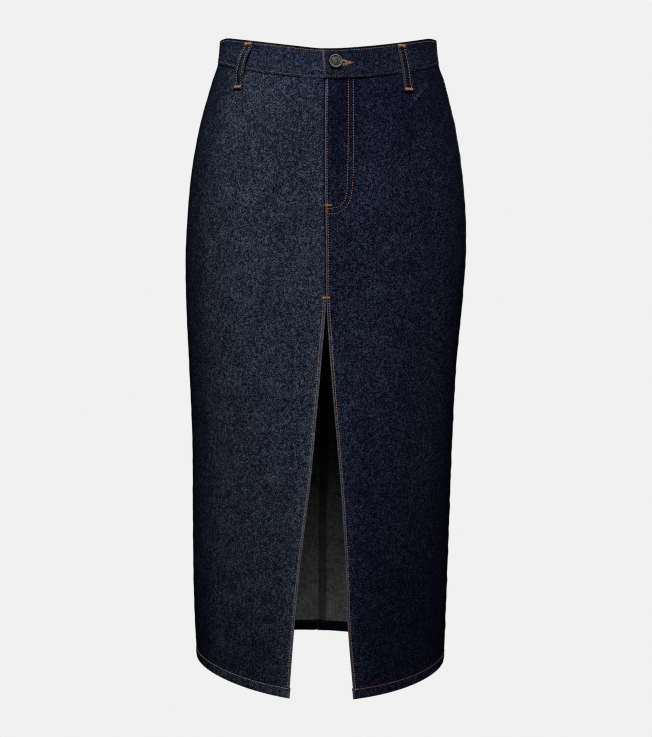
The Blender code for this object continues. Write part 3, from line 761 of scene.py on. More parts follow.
def panelShares(half):
    # the rows above the hem as shares of the height: to the slit's top, past the flap, to the band
    foot, top = (float(lineHeight(line, half, 0.0)) for line in (hemLine, bandBottomLine))
    height, spacing = top - foot, cloth["rowSpacing"]
    slit, opened = ((cloth["slitTop"] + up - foot) / height for up in (0, cloth["flapTurn"]))
    start = (hem["outerRises"][-1] + spacing) / height
    below = np.linspace(start, slit, round((slit - start) * height / spacing))
    above = np.linspace(opened, 1, round((1 - opened) * height / spacing * 1.15))
    return np.concatenate([below, np.linspace(slit, opened, 7)[1:-1], above])[:, None]


def layPanel(panel):
    # the net of a panel: arc length, height and offset of each place, and its place on flat cloth
    half, side = panel.half, panel.side
    s, inset, share, sFar = panelColumns(panel)
    turn, bendLength, startInset = centreFold(panel)
    rise, depth, around = hemRows()
    shares = panelShares(half)
    low = slice(0, len(rise))
    z = np.full((len(rise) + len(shares), len(s)), -0.4)
    w = np.zeros(z.shape)
    for _ in range(5):  # heights depend on arc lengths, and the other way round
        portion = np.clip(w / sideLength(half, z), -1, 1)
        bottom = np.broadcast_to(lineHeight(hemLine, half, portion[0]), z.shape)
        top = lineHeight(bandBottomLine, half, portion[-1]) + cloth["tuck"]
        shallow = side * (w - centreEdge(panel, z))
        inLap = fadeOut(shallow, *panel.lapRun)
        fold = (lapLift(panel, shallow, z) + hem["fold"] + panel.lapFold * inLap)[low]
        lowest = (bottom + panel.lapRaise * inLap)[low]
        inFold = (around > 0) & (around < math.pi)
        hemRise = np.where(inFold, fold / 2 * (1 - np.sin(around)), np.maximum(rise, fold / 2))
        z = np.concatenate([lowest + hemRise, bottom[:1] + shares * (top - bottom[0])])
        edge, length = centreEdge(panel, z), sideLength(half, z)
        first, last = edge + side * startInset, side * (length - cloth["foldRadius"])
        beta = np.full(z.shape, turn)
        if panel.name == "front_right":  # its facing opens out above the slit
            beta = math.pi * fadeOut(z, cloth["slitTop"], cloth["slitTop"] + cloth["flapTurn"])
        ahead, inward = bend(s, bendLength, beta)
        aheadFar, inwardFar = bend(sFar, foldLength, math.pi)
        dense = first + side * inset
        w = dense + share * (last - dense) - side * ahead + side * aheadFar
    onFace = np.where(s > 0, first, np.where(sFar > 0, last, w))
    shallow = side * (onFace - edge)
    layer, mirror, v = np.zeros(z.shape), np.ones(z.shape), z.copy()
    layer[low] = -depth * fold
    mirror[low] = np.where(around >= math.pi, -(depth**2), 1 - 2 * depth)
    relief = seamRelief(panel, onFace, z) * np.where(mirror > 0, 1, -0.6)
    offset = lapLift(panel, shallow, z) + relief + layer - (inward + inwardFar) * mirror
    unrolled = lowest + fold / 2 * (1 - around) - (hemRise - fold / 2) * (around >= math.pi)
    v[low] = np.where(around > 0, unrolled, z[low])
    u = w + side * (ahead - s) - side * (aheadFar - sFar)
    return SimpleNamespace(w=w, z=z, offset=offset, uvs=np.stack([u, v], axis=-1), s=s, sFar=sFar, low=low,
                           around=around, onFace=onFace, shallow=shallow, startInset=startInset,
                           length=length, bottom=bottom, top=top)


# painted light and shade on the fronts, with some uneven dye: X, height, spread across, spread up, change
lightAndShadePatches = (
    (-0.045, -0.120, 0.032, 0.075, -0.30),
    (-0.115, -0.270, 0.026, 0.090, 0.22),
    (-0.100, -0.860, 0.100, 0.170, -0.42),
    (0.100, -0.060, 0.090, 0.085, -0.62),
    (0.020, -0.060, 0.025, 0.100, -0.35),
    (0.008, -0.130, 0.014, 0.080, -0.34),
    (0.056, -0.200, 0.014, 0.035, 0.25),
    (0.052, -0.370, 0.020, 0.060, 0.20),
    (0.130, -0.200, 0.040, 0.060, -0.22),
    (0.040, -0.420, 0.030, 0.090, 0.22),
    (0.100, -0.760, 0.120, 0.210, -0.55),
)
# painted highlights along the ridges of creases: from X and height, to X and height, change, spread
paintedCreaseHighlights = (
    (0.104, -0.078, 0.128, -0.050, 1.5, 0.0011),
    (0.112, -0.068, 0.127, -0.049, 1.2, 0.0011),
    (0.150, -0.100, 0.162, -0.060, 0.8, 0.0020),
)
# shares by which the cloth is darkened or paled, most of them with the distance over which they do. Most are
# painted shade and light; the hem's ridges are wear, and the folds' pale lines are wear with a painted
# highlight
toneShares = {
    "shadowBesideFold": (0.97, 0.0021),
    "flyRows": (0.60, 0.0016),
    "slitGlow": (0.50, 0.017),
    "foldGlow": (1.0, 0.0034),
    "slitRun": (0.325, 0.40),  # depths between which both of them come in
    "sideSeam": (0.92, 0.032),
    "sideRun": (0.052, 0.088),
    "turnedUp": 0.82,
    "hemGlow": 1.0,
    "hemTwist": 0.85,
    "shadowUnderBand": 0.9,
    "felledSeam": 0.70,
    "felledFrom": (-0.0042, -0.0028),
    "felledTo": (0.0084, 0.0098),
    "foldWearAndHighlight": {"front": 0.95, "back": 0.6},
    "lowerFoldDrop": 0.35,  # by how much less pale a front's fold is near the hem
    "lowerRun": (0.74, 0.78),
    "sideWear": 0.22,
    "hemWear": 0.25,
    "wearWidth": 0.0009,
}


def paintedLightTone(x, z):
    tone = np.zeros(x.shape)
    for x0, z0, across, up, change in lightAndShadePatches:
        tone += change * np.exp(-(((x - x0) / across) ** 2) - ((z - z0) / up) ** 2)
    for x0, z0, x1, z1, change, spread in paintedCreaseHighlights:
        dx, dz = x1 - x0, z1 - z0
        along = np.clip(((x - x0) * dx + (z - z0) * dz) / (dx * dx + dz * dz), 0, 1)
        tone += change * bell(np.hypot(x - x0 - along * dx, z - z0 - along * dz), spread)
    return tone


def darkenTone(tone, share):
    return tone - (1 + tone) * share


def panelTone(panel, net, x):
    z, slitTop = net.z, cloth["slitTop"]
    tone = np.zeros(z.shape)
    if panel.half == "front":
        tone = paintedLightTone(x, z)
    if panel.name == "front_right":  # painted shadow beside the other front's fold
        share, reach = toneShares["shadowBesideFold"]
        beside = bell(np.maximum(centreEdge(panels["front_left"], z) - net.onFace, 0), reach, 4)
        tone = darkenTone(tone, share * beside * smoothStep(z, slitTop, slitTop + 0.004))
    if panel.name == "front_left":  # painted shade along the fly's rows and the row beside its edge
        share, reach = toneShares["flyRows"]
        near = np.minimum(*(nearPath(net.onFace, z, path)[0] for path in flyPaths))
        near = np.minimum(near, np.where(z > slitTop, np.abs(net.shallow - rowInset("slit", z)), 1.0))
        tone = darkenTone(tone, share * bell(near, reach))
    if panel.half == "front":  # paler along the slit: painted light where the cloth faces the lamp, and wear at its folded edge
        glows = (toneShares["slitGlow"], toneShares["foldGlow"])
        glow = sum(share * bell(net.shallow, reach) for share, reach in glows)
        tone = tone + glow * smoothStep(-z, *toneShares["slitRun"])
    share, reach = toneShares["sideSeam"]  # painted shade towards every side seam, where the cloth turns away from the light
    fromSide, wide = net.length - np.abs(net.onFace), panel.sideShade
    shade = wide * fadeOut(fromSide, *toneShares["sideRun"]) + (share - wide) * bell(fromSide, reach)
    tone = darkenTone(tone, shade)
    # painted shade on the hem's turned-up layer inside
    turnedUp = np.zeros(z.shape)
    turnedUp[net.low] = net.around > math.pi * 0.8
    tone = darkenTone(tone, toneShares["turnedUp"] * turnedUp)
    rise = z - net.bottom
    ridges = toneShares["hemGlow"] + toneShares["hemTwist"] * hemTwist(panel.side, net.onFace, rise)
    tone = tone + (1 + tone) * ridges * fadeOut(rise, 0.0112, 0.0126) * (1 - turnedUp)
    # painted shadow on the panel just under the waistband
    return darkenTone(tone, toneShares["shadowUnderBand"] * smoothStep(z, net.top - 0.0032, net.top - 0.0018))


def panelWearAndHighlight(panel, net):
    # the pale yarn bared on the folded edges, and a painted highlight along them
    past = net.s - np.maximum(net.shallow - net.startInset, 0)  # distance beyond the fold's start
    strength = toneShares["foldWearAndHighlight"][panel.half]
    if panel.half == "front":
        strength = strength - toneShares["lowerFoldDrop"] * smoothStep(-net.z, *toneShares["lowerRun"])
    wearAndHighlight = strength * bell(past - 0.24 * foldLength, toneShares["wearWidth"])
    atSide = toneShares["sideWear"] * bell(net.sFar - foldLength / 2, toneShares["wearWidth"]) * (net.sFar > 0)
    wearAndHighlight = np.maximum(wearAndHighlight, atSide)
    if panel.name == "front_right":
        wearAndHighlight = wearAndHighlight * fadeOut(net.z, cloth["slitTop"], cloth["slitTop"] + 0.006)
    wearAndHighlight[net.low] = np.maximum(wearAndHighlight[net.low], toneShares["hemWear"] * bell(net.around - math.pi / 2, 0.6))
    return wearAndHighlight


def makePanel(panel):
    net = layPanel(panel)
    places = surface(panel.half, net.w, net.z, net.offset)
    obj = startGrid(panel.name + "_cloth", *net.z.shape[::-1])
    setPlaces(obj, places)
    setUvs(obj, net.uvs)
    tone = panelTone(panel, net, places[..., 0])
    fell = 0.0  # the inner face is darker along the felled seam
    if panel.half == "back":
        fell = smoothStep(net.w, *toneShares["felledFrom"]) * fadeOut(net.w, *toneShares["felledTo"])
    setAttribute(obj, "wearAndHighlight", panelWearAndHighlight(panel, net))
    setAttribute(obj, "tone", tone)
    setAttribute(obj, "innerTone", darkenTone(tone, toneShares["felledSeam"] * fell))
    # the turned edges stop above the hem, so that its corners stay thin
    turned = [np.maximum(run[:-1], run[1:]) > foldLength * 0.51 for run in (net.s, net.sFar)]
    gone = (turned[0] | turned[1]) & ((net.z - net.bottom)[1:, 1:] < hem["clear"])
    gone[: (net.around > 0).sum()] |= turned[0] | turned[1]
    if (panel.side < 0) != (panel.half == "back"):
        editMesh(flip_normals={})
    deleteFaces(obj, gone.ravel())
    wall = obj.modifiers.new("wall", "SOLIDIFY")
    wall.thickness = cloth["thickness"]
    wall.offset = -1
    wall.material_offset = 1
    wall.use_quality_normals = True
    # the left front's look is the darker copy of the denim: painted shade
    obj.data.materials.append(denim[panel.look])
    obj.data.materials.append(denim["wrongSide"])
    bpy.ops.object.modifier_apply(modifier=wall.name)
    shareTone(obj)
    finishPiece(obj, (), "denim", panel.name)


def shareTone(obj):
    # the wall's inner face takes its own tone
    attributes, polygons = obj.data.attributes, obj.data.polygons
    tone, inner = (readValues(attributes[name].data, "value") for name in ("tone", "innerTone"))
    slots, sizes = (readValues(polygons, name, np.int32) for name in ("material_index", "loop_total"))
    inside = readValues(obj.data.loops, "vertex_index", np.int32)[np.repeat(slots == 1, sizes)]
    tone[inside] = inner[inside]
    attributes["tone"].data.foreach_set("value", tone)
    attributes.remove(attributes["innerTone"])


for panel in panels.values():
    makePanel(panel)
print("panels made")


# Waistband

band = {
    "wall": 0.0026,
    "proud": 0.0008,
    "edgeX": -0.0071,
    "lean": 0.0017,  # of the upper end, which dies away over leanRun
    "leanRun": 0.016,
    "underlap": 0.036,
    "rise": 0.00145,
    "ramp": (0.047, 0.070),  # insets between which the upper piece sinks back
    "spacing": 0.0028,
    "ends": (0, 0.25, 0.6, 1.1, 1.75, 2.3, 2.85, 3.6, 5.0),  # closer stations at each end, in mm
    "backGap": 0.00015,
    "topRow": 0.0035,
    "bottomRow": 0.0032,
    "endRow": 0.0023,
    "rowOut": 0.00060,  # how far out, and in, the rows of stitches lie
    "rowIn": -0.00158,
    "sunkFrom": 0.020,  # X past which the row at the foot of the upper piece lies deep in its seam
    "crest": 0.76,  # share of the front at which the top edge is highest
    "crestDrop": 0.0055,  # and how far it comes down from there to the side
    "core": -0.0005,  # the depth towards which its ends are pinched, and by what share
    "pinch": 0.62,
    "pinchRun": 0.0012,
    "rounding": 0.0011,  # of the corners at its ends
    "roundingRun": 0.0018,
    "pucker": 0.00012,
    "edgeWear": 0.45,
    "glow": 0.38,  # of the paler stretch, whose middle lies at this share of the height
    "glowAt": 0.38,
    "glowSpread": 0.24,
    # both pieces are darkened, the left more: painted shade on the wearer's left
    "shade": {1: 0.24, -1: 0.15},  # of the left and the right piece
}
# the band's outline: measured from its foot or its top, and out from the cloth, in millimetres
bandOutside = (
    ("foot", 0.30, -0.05), ("foot", 0.05, 0.25), ("foot", 0.15, 0.55), ("foot", 0.50, 0.76),
    ("foot", 1.10, 0.82), ("foot", 1.75, 0.76), ("foot", 2.30, 0.58), ("foot", 2.85, 0.76),
    ("foot", 3.90, 0.82), ("foot", 8.00, 0.86), ("foot", 13.0, 0.90), ("top", 13.0, 0.90),
    ("top", 8.00, 0.86), ("top", 5.30, 0.82), ("top", 4.10, 0.76), ("top", 3.50, 0.58),
    ("top", 2.90, 0.74), ("top", 1.70, 0.77))
bandInside = (
    ("top", 1.70, -1.78), ("top", 2.90, -1.72), ("top", 3.50, -1.58), ("top", 4.10, -1.76),
    ("top", 6.00, -1.80), ("top", 13.0, -1.80), ("foot", 13.0, -1.80), ("foot", 5.00, -1.80),
    ("foot", 2.85, -1.76), ("foot", 2.30, -1.58), ("foot", 1.75, -1.76), ("foot", 0.90, -1.80),
    ("foot", 0.30, -1.62), ("foot", 0.05, -1.30), ("foot", 0.30, -1.00))


def bandLift(half, side, w):
    if half == "back":
        return np.zeros(np.shape(w))
    inset, (start, end) = w - band["edgeX"], band["ramp"]
    if side > 0:
        return band["rise"] * fadeOut(inset, start, end)
    return -band["rise"] * smoothStep(inset, band["underlap"] - end, band["underlap"] - start)


def bandLine(half, share, kind):
    if kind == "foot":
        return lineHeight(bandBottomLine, half, share)
    drop = band["crestDrop"] * smoothStep(np.abs(share), band["crest"], 1.0) if half == "front" else 0.0
    return lineHeight(bandTopLine, half, share) - drop


def bandRing(side, half, w, fromFront, fromBack):
    # one cross-section of the band, pinched and rounded off close to its ends
    turns = np.radians(range(25, 151, 25))
    top = [("top", 1.30 * (1 - math.sin(a)), -0.50 + 1.26 * math.cos(a)) for a in turns]
    kinds, gaps, outs = (np.array(column) for column in zip(*bandOutside, *top, *bandInside))
    gaps, outs = gaps / 1000, outs / 1000
    near = min(fromFront, fromBack)
    outs = outs + (band["core"] - outs) * band["pinch"] * fadeOut(near, 0.0, band["pinchRun"]) ** 2
    gaps = gaps + band["rounding"] * fadeOut(near, 0.0, band["roundingRun"]) ** 2
    if side > 0:
        groove = cloth["grooveDepth"] * bell(fromFront - band["endRow"], cloth["grooveWidth"])
        outs = outs - groove * (outs > 0)
    outs = outs + band["pucker"] * ripple(fromFront, 2.7 + side)
    full = float(sideLength(half, 0.0))
    share = np.full(len(gaps), w / full)
    lean = band["lean"] * fadeOut(fromFront, 0.0, band["leanRun"]) if side > 0 else 0.0
    for _ in range(2):
        foot, head = bandLine(half, share, "foot"), bandLine(half, share, "top")
        z = np.where(kinds == "top", head - gaps, foot + gaps)
        share = (w + lean * (1 - 2 * (z - foot) / (head - foot))) / full
    return surface(half, share * sideLength(half, z), z, outs + bandLift(half, side, w))


def bandStations(side):
    # half, arc length, and distance from the band's two ends
    front, back = float(sideLength("front", 0.0)), float(sideLength("back", 0.0))
    start = band["edgeX"] if side > 0 else band["edgeX"] + band["underlap"]
    ends, spacing = np.array(band["ends"]) / 1000, band["spacing"]
    reach = front - side * start
    ahead = np.concatenate([ends, np.arange(ends[-1] + spacing, reach - 0.0012, spacing)])
    behind = np.linspace(back, band["backGap"] + ends[-1], round(back / spacing))
    behind = np.concatenate([behind, band["backGap"] + ends[-2::-1]])
    stations = [("front", start + side * d, d, reach + back - d) for d in ahead]
    return stations + [("back", side * w, reach + back - w, w) for w in behind]


button = {
    "x": 0.0094,
    "z": -0.0236,
    "gap": 0.0003,
    "steps": 72,
    "rim": (0.00716, 0.0081),  # radii between which the rim is bare
    "eye": 0.0031,  # of the buttonhole
    "eyeOpening": 28,
    "holeDrop": 0.0010,
}


def findButton():
    # where the button stands: along the band, up it and out from it
    w = float(arcAt("front", button["x"], button["z"]))
    steps = ((0, 0), (0.004, 0), (-0.004, 0), (0, 0.004), (0, -0.004))
    centre, left, right, high, low = (Vector(surface("front", w + x, button["z"] + y)) for x, y in steps)
    along = (left - right).normalized()
    out = along.cross(high - low).normalized()
    return Matrix.Translation(centre) @ Matrix((along, out.cross(along), out)).transposed().to_4x4(), w


buttonPlace, buttonW = findButton()


def keyhole():
    # the buttonhole's outline about the button: its eye, and its slit as half widths
    eye, opening = button["eye"], math.radians(button["eyeOpening"])
    turns = [opening + (math.tau - 2 * opening) * k / 18 for k in range(19)]
    outline = [(eye * math.cos(a), eye * math.sin(a)) for a in turns]
    slit = [(0.0060, 0.00130), (0.0090, 0.00105), (0.0115, 0.00040), (0.0165, 0.00014), (0.0178, 0.00008)]
    outline += [(x, -y) for x, y in slit] + slit[::-1]
    return [(x, y - button["holeDrop"] * float(smoothStep(x, 0.003, 0.009))) for x, y in outline]


def cutButtonhole(piece):
    outline = keyhole()
    bpy.ops.mesh.primitive_circle_add(vertices=len(outline), radius=1, fill_type="NGON")
    cutter = bpy.context.active_object
    setPlaces(cutter, [buttonPlace @ Vector((x, y, -0.006)) for x, y in outline])
    through = {"value": tuple(buttonPlace.to_3x3() @ Vector((0, 0, 0.014)))}
    editMesh("FACE", extrude_region_move={"TRANSFORM_OT_translate": through},
             normals_make_consistent={"inside": False})
    cutter.select_set(False)
    bpy.context.view_layer.objects.active = piece
    piece.select_set(True)
    cut = piece.modifiers.new("buttonhole", "BOOLEAN")
    cut.operation = "DIFFERENCE"
    cut.object = cutter
    bpy.ops.object.modifier_apply(modifier=cut.name)
    bpy.data.objects.remove(cutter)


def makeBand(name, side):
    rings, uvs = [], []
    for station in bandStations(side):
        ring = bandRing(side, *station)
        around = lengthsAlong(ring[np.r_[: len(ring), 0]])
        rings.append(ring)
        uvs.append(np.stack([around, np.full(len(around), station[2])], axis=-1))
    obj = clothTube(name + "_cloth", np.array(rings), np.array(uvs))
    if side > 0:
        cutButtonhole(obj)
    x, y, z = readValues(obj.data.vertices, "co", width=3).reshape(-1, 3).T.astype(float)
    foot, head = np.zeros(len(x)), np.zeros(len(x))
    for half, here in (("front", y < 0), ("back", y >= 0)):
        share = arcAt(half, x[here], z[here]) / sideLength(half, z[here])
        foot[here], head[here] = bandLine(half, share, "foot"), bandLine(half, share, "top")
    gap = head - z
    # wear with a painted highlight along the upper end's edge
    wearAndHighlight = band["edgeWear"] * bell(x - band["edgeX"], 0.0015) * (y < 0) if side > 0 else 0 * x
    setAttribute(obj, "wearAndHighlight", wearAndHighlight * smoothStep(gap, 0.0008, 0.0020))
    level = (z - foot) / (head - foot)
    tone = band["glow"] * bell(level - band["glowAt"], band["glowSpread"]) - band["shade"][side]
    # painted shade along the top edge, where the band rolls away from the light, and a painted shadow line at
    # its foot
    rim = np.maximum(fadeOut(gap, 0.0012, 0.0026), 0.7 * fadeOut(z - foot, 0.0002, 0.0012))
    setAttribute(obj, "tone", darkenTone(tone, rim))
    # the left piece takes the darker copy of the band's denim: painted shade
    finishPiece(obj, [denim["upperBand" if side > 0 else "lowerBand"]], "denim", name)


makeBand("waistband_left", 1)
makeBand("waistband_right", -1)
print("waistband made")


# Belt loops

loopCut = {
    "width": 0.013,
    "length": 0.083,  # with both ends turned under
    "turn": 0.0013,  # radius of the turned-under ends
    "pad": 0.008,
    "drop": 0.0243,
    "row": 0.0035,  # each row of stitches from the middle
    "edgeWear": 0.28,
    "shade": -0.42,
}
# half, X at the top, X at the foot, arch, lift of what it crosses
loops = {
    "loop_front_right": ("front", -0.1004, -0.1161, 0.0045, 0.0),
    "loop_front_left": ("front", 0.0918, 0.1027, 0.0014, 0.0),
    "loop_back_right": ("back", -0.0860, -0.0900, 0.0034, 0.0),
    "loop_back_left": ("back", 0.0860, 0.0900, 0.0038, 0.0),
    "loop_back_centre": ("back", 0.0000, 0.0000, 0.0048, 0.00075),
}
# across the strip and down from its face, in millimetres
loopRing = (
    (-6.5, 0.62), (-6.36, 0.22), (-5.95, 0.04), (-4.9, 0.0), (-4.1, 0.05), (-3.5, 0.20), (-2.9, 0.05),
    (-1.9, -0.02), (0, -0.04), (1.9, -0.02), (2.9, 0.05), (3.5, 0.20), (4.1, 0.05), (4.9, 0.0),
    (5.95, 0.04), (6.36, 0.22), (6.5, 0.62), (6.36, 1.05), (5.9, 1.25), (0, 1.25), (-5.9, 1.25),
    (-6.36, 1.05))


def loopPath(height, archRise):
    # the strip's face as distance down and out, from one hidden end round to the other
    r, pad, low = loopCut["turn"], loopCut["pad"], 0.0003
    high, crest = low + 2 * r, low + 2 * r + archRise
    turn = [(r - r * math.sin(a), low + r - r * math.cos(a)) for a in np.linspace(0, math.pi, 9)]
    arch = [(pad - 0.002, high), (pad, high + 0.0001), (pad + 0.009, crest - 0.0006),
            (height * 0.5, crest + 0.0002), (height - pad - 0.011, crest - 0.0010),
            (height - pad, high + 0.0001), (height - pad + 0.002, high)]
    start = [(pad, low), (pad * 0.55, low)] + turn
    face = [(pad * 0.4, high), *smoothPath(arch, 30), (height - pad * 0.4, high)]
    return np.array(start + face + [(height - down, out) for down, out in start[::-1]]), len(start)


def loopPlaces(name, across, depth):
    # places on a belt loop for each step along it, across it and down from its face
    half, xTop, xFoot, archRise, seat = loops[name]
    share = float(arcAt(half, xTop, 0.0) / sideLength(half, 0.0))
    top, foot = float(bandLine(half, share, "top")) - 0.0012, float(bandLine(half, share, "foot"))
    height = top - foot + loopCut["drop"]
    path, hidden = loopPath(height, archRise)
    ahead = unit(np.gradient(path, axis=0))
    face = np.stack([-ahead[:, 1], ahead[:, 0]], axis=-1)
    across, depth = (np.asarray(v, float)[None, :] for v in (across, depth))
    down = path[:, :1] - face[:, :1] * depth
    overBand = fadeOut(down, top - foot + 0.003, height - loopCut["pad"])
    out = path[:, 1:] - face[:, 1:] * depth + seat + 0.0002 + band["proud"] * overBand
    middle = arcAt(half, xTop + (xFoot - xTop) * down / height, top - down)
    return surface(half, middle + across, top - down, out), down[:, 0], hidden, height


def makeLoop(name):
    across, depth = np.array(loopRing).T / 1000
    rings, _, _, height = loopPlaces(name, across, depth)
    along = lengthsAlong(rings[:, 8])
    around = lengthsAlong(np.array(loopRing + loopRing[:1])) / 1000
    uvs = np.broadcast_arrays(around[None, :] + 0.03 * len(name), along[:, None] + 0.11 * height)
    obj = clothTube(name + "_cloth", rings, np.stack(uvs, axis=-1))
    edge = np.zeros((len(rings), len(loopRing)))
    edge[:, [1, 2, 14, 15]] = loopCut["edgeWear"]
    setAttribute(obj, "wearAndHighlight", edge)
    setAttribute(obj, "tone", np.full(edge.shape, loopCut["shade"]))
    # loops on the wearer's left take the darker copy of the band's denim: painted shade
    finishPiece(obj, [denim["upperBand" if loops[name][1] > 0 else "lowerBand"]], "denim", name)


for name in loops:
    makeLoop(name)
print("belt loops made")


# Button

# radius and height above the seat, in millimetres
capProfile = (
    (2.4, 0.20), (4.0, 0.10), (7.5, 0.02), (8.2, 0.18), (8.62, 0.62), (8.78, 1.15), (8.80, 1.8), (8.70, 2.45),
    (8.44, 2.95), (8.10, 3.26), (7.76, 3.36), (7.48, 3.28), (7.28, 3.02), (7.14, 2.68), (7.00, 2.46),
    (6.70, 2.38), (5.4, 2.42), (4.0, 2.52), (2.2, 2.60), (0, 2.62))
tackProfile = (
    (0, -1.25), (0.9, -1.22), (1.3, -1.05), (2.3, -1.12), (3.4, -1.05), (4.15, -0.80), (4.55, -0.45),
    (4.50, -0.15), (4.2, 0), (0, 0))


def turnedPiece(name, profile, steps):
    # a profile of radius and height, turned about the button's own axis
    angles = np.linspace(0, math.tau, steps + 1)
    radius, height = np.array(profile).T[..., None] / 1000
    places = np.stack([radius * np.cos(angles), radius * np.sin(angles), height + 0 * angles], axis=-1)
    obj = startGrid(name, steps + 1, len(profile))
    turn = np.array(buttonPlace)
    setPlaces(obj, places @ turn[:3, :3].T + turn[:3, 3])
    editMesh(remove_doubles={"threshold": 2e-6}, dissolve_degenerate={"threshold": 1e-6},
             normals_make_consistent={"inside": False})
    return obj


def makeButton():
    low, high = band["proud"] - band["rise"], band["proud"] + band["rise"]
    under, over = (low + button["gap"] + 0.0002) * 1000, (high + button["gap"] + 0.0003) * 1000
    cap = [(0, under), (2.4, under)] + [(radius, over + height) for radius, height in capProfile]
    obj = turnedPiece("button_cap", cap, button["steps"])
    back = buttonPlace.inverted()
    for polygon in obj.data.polygons:
        spot = back @ polygon.center
        polygon.material_index = button["rim"][0] < math.hypot(spot.x, spot.y) < button["rim"][1]
    finishPiece(obj, [metal["face"], metal["rim"]], "dark_metal", "button", angle=60)
    foot = (low - band["wall"] - 0.0004) * 1000
    obj = turnedPiece("tack_head", [(radius, foot + height) for radius, height in tackProfile], 48)
    finishPiece(obj, [metal["rim"]], "dark_metal", "button_tack", angle=60)


makeButton()
print("button made")


# Stitching

stitch = {
    "pitch": 0.00328,
    "length": 0.00215,
    "width": 0.00100,
    "height": 0.00078,
    "lift": 0.0,
    "wobble": 0.04,
    "turned": False,
}
# dense stitches that lie across their row
tack = {**stitch, "pitch": 0.00046, "width": 0.00056, "height": 0.0008, "lift": 0.0002,
        "wobble": 0.10, "turned": True}
# and those round the buttonhole
purl = {**tack, "pitch": 0.00052, "width": 0.00060, "height": 0.0011, "lift": 0.0001, "wobble": 0.07}
sewn = {}
random = np.random.default_rng(7)


def modelStitch():
    # one thread's visible stitch, a metre long along X, with its ends dipping into the cloth
    bpy.ops.object.select_all(action="DESELECT")
    bpy.ops.mesh.primitive_uv_sphere_add(segments=6, ring_count=5, radius=1)
    obj = bpy.context.active_object
    mesh = obj.data
    x, y, z = readValues(mesh.vertices, "co", width=3).reshape(-1, 3)[:, [2, 0, 1]].T
    long = np.sign(x) * np.abs(x) ** 0.8
    shape = np.stack([0.5 * long, 0.5 * y, 0.5 * z - 0.34 * long**2], axis=-1)
    corners = readValues(mesh.loops, "vertex_index", np.int32)
    sizes = readValues(mesh.polygons, "loop_total", np.int32)
    uvs = readValues(mesh.uv_layers.active.data, "uv", width=2).reshape(-1, 2)
    bpy.data.objects.remove(obj)
    return shape, corners, sizes, uvs


stitchShape, stitchCorners, stitchSizes, stitchUvs = modelStitch()


def sewAlong(piece, points, outs, colour="copper", kind=stitch, **changes):
    # stitches along a row of places; turned ones lie across it, as in a bar tack
    size = {**kind, **changes}
    points, outs = np.asarray(points), np.asarray(outs)
    steps = lengthsAlong(points)
    count = max(1, round(steps[-1] / size["pitch"]))
    at = (np.arange(count) + 0.5) * steps[-1] / count

    def spread(values):
        return np.stack([np.interp(at, steps, values[:, k]) for k in range(3)], axis=-1)

    centres, away = spread(points), unit(spread(outs))
    along = unit(spread(np.gradient(points, steps, axis=0)))
    if size["turned"]:
        along = unit(np.cross(away, along))
    along = unit(along - away * (along * away).sum(-1, keepdims=True))
    swing = random.normal(0, size["wobble"], count)[:, None]
    along = unit(along + unit(np.cross(away, along)) * swing)
    across = unit(np.cross(away, along))
    long = np.interp(at, steps, np.broadcast_to(size["length"], steps.shape))
    scatter = ((long, 0.05), (size["width"], 0.06), (size["height"], 0.08))
    sizes = np.stack([value * random.uniform(1 - part, 1 + part, count) for value, part in scatter], axis=-1)
    centres = centres + away * (size["lift"] + 0.32 * sizes[:, 2:])
    tint = random.uniform(0.0, 0.55, count)
    sewn.setdefault(piece, []).append((colour, centres, (along, across, away), sizes, tint))


def makeStitching(piece):
    # every stitch of a piece in one mesh
    colours = sorted({group[0] for group in sewn[piece]})
    places, tints, kinds = [], [], []
    for colour, centres, ways, sizes, tint in sewn[piece]:
        shapes = stitchShape[None] * sizes[:, None, :]
        spots = centres[:, None] + sum(shapes[..., k : k + 1] * way[:, None] for k, way in enumerate(ways))
        places.append(spots.reshape(-1, 3))
        tints.append(np.repeat(tint, len(stitchShape)))
        kinds.append(np.full(len(centres) * len(stitchSizes), colours.index(colour)))
    places = np.concatenate(places)
    count = len(places) // len(stitchShape)
    corners = stitchCorners[None] + len(stitchShape) * np.arange(count)[:, None]
    sizes = np.tile(stitchSizes, count)
    starts = np.concatenate([[0], np.cumsum(sizes)[:-1]])
    mesh = bpy.data.meshes.new(piece)
    mesh.vertices.add(len(places))
    mesh.loops.add(corners.size)
    mesh.polygons.add(len(sizes))
    mesh.vertices.foreach_set("co", places.astype(np.float32).ravel())
    mesh.loops.foreach_set("vertex_index", corners.astype(np.int32).ravel())
    mesh.polygons.foreach_set("loop_start", starts.astype(np.int32))
    mesh.polygons.foreach_set("material_index", np.concatenate(kinds).astype(np.int32))
    mesh.update(calc_edges=True)
    obj = bpy.data.objects.new(piece, mesh)
    bpy.context.collection.objects.link(obj)
    bpy.context.view_layer.objects.active = obj
    obj.select_set(True)
    layer = mesh.uv_layers.new(name="UVMap")
    layer.data.foreach_set("uv", np.tile(stitchUvs, (count, 1)).astype(np.float32).ravel())
    setAttribute(obj, "tint", np.concatenate(tints))
    editMesh(normals_make_consistent={"inside": False})
    finishPiece(obj, [thread[colour] for colour in colours], "denim", angle=80)
    return count


def panelPath(panel, w, z, inside=None):
    # places and ways out along a row on a panel; inside gives the depth of the inner face
    here, out = clothFrame(panel.half, w, z, lambda w, z: panelLift(panel, w, z))
    if inside is None:
        return here, out
    return here - out * np.asarray(inside)[..., None], -out


def hemZ(panel, w, rise):
    z = np.full(np.shape(w), -0.82)
    for _ in range(3):
        z = lineHeight(hemLine, panel.half, np.clip(w / sideLength(panel.half, z), -1, 1)) + rise
    return z


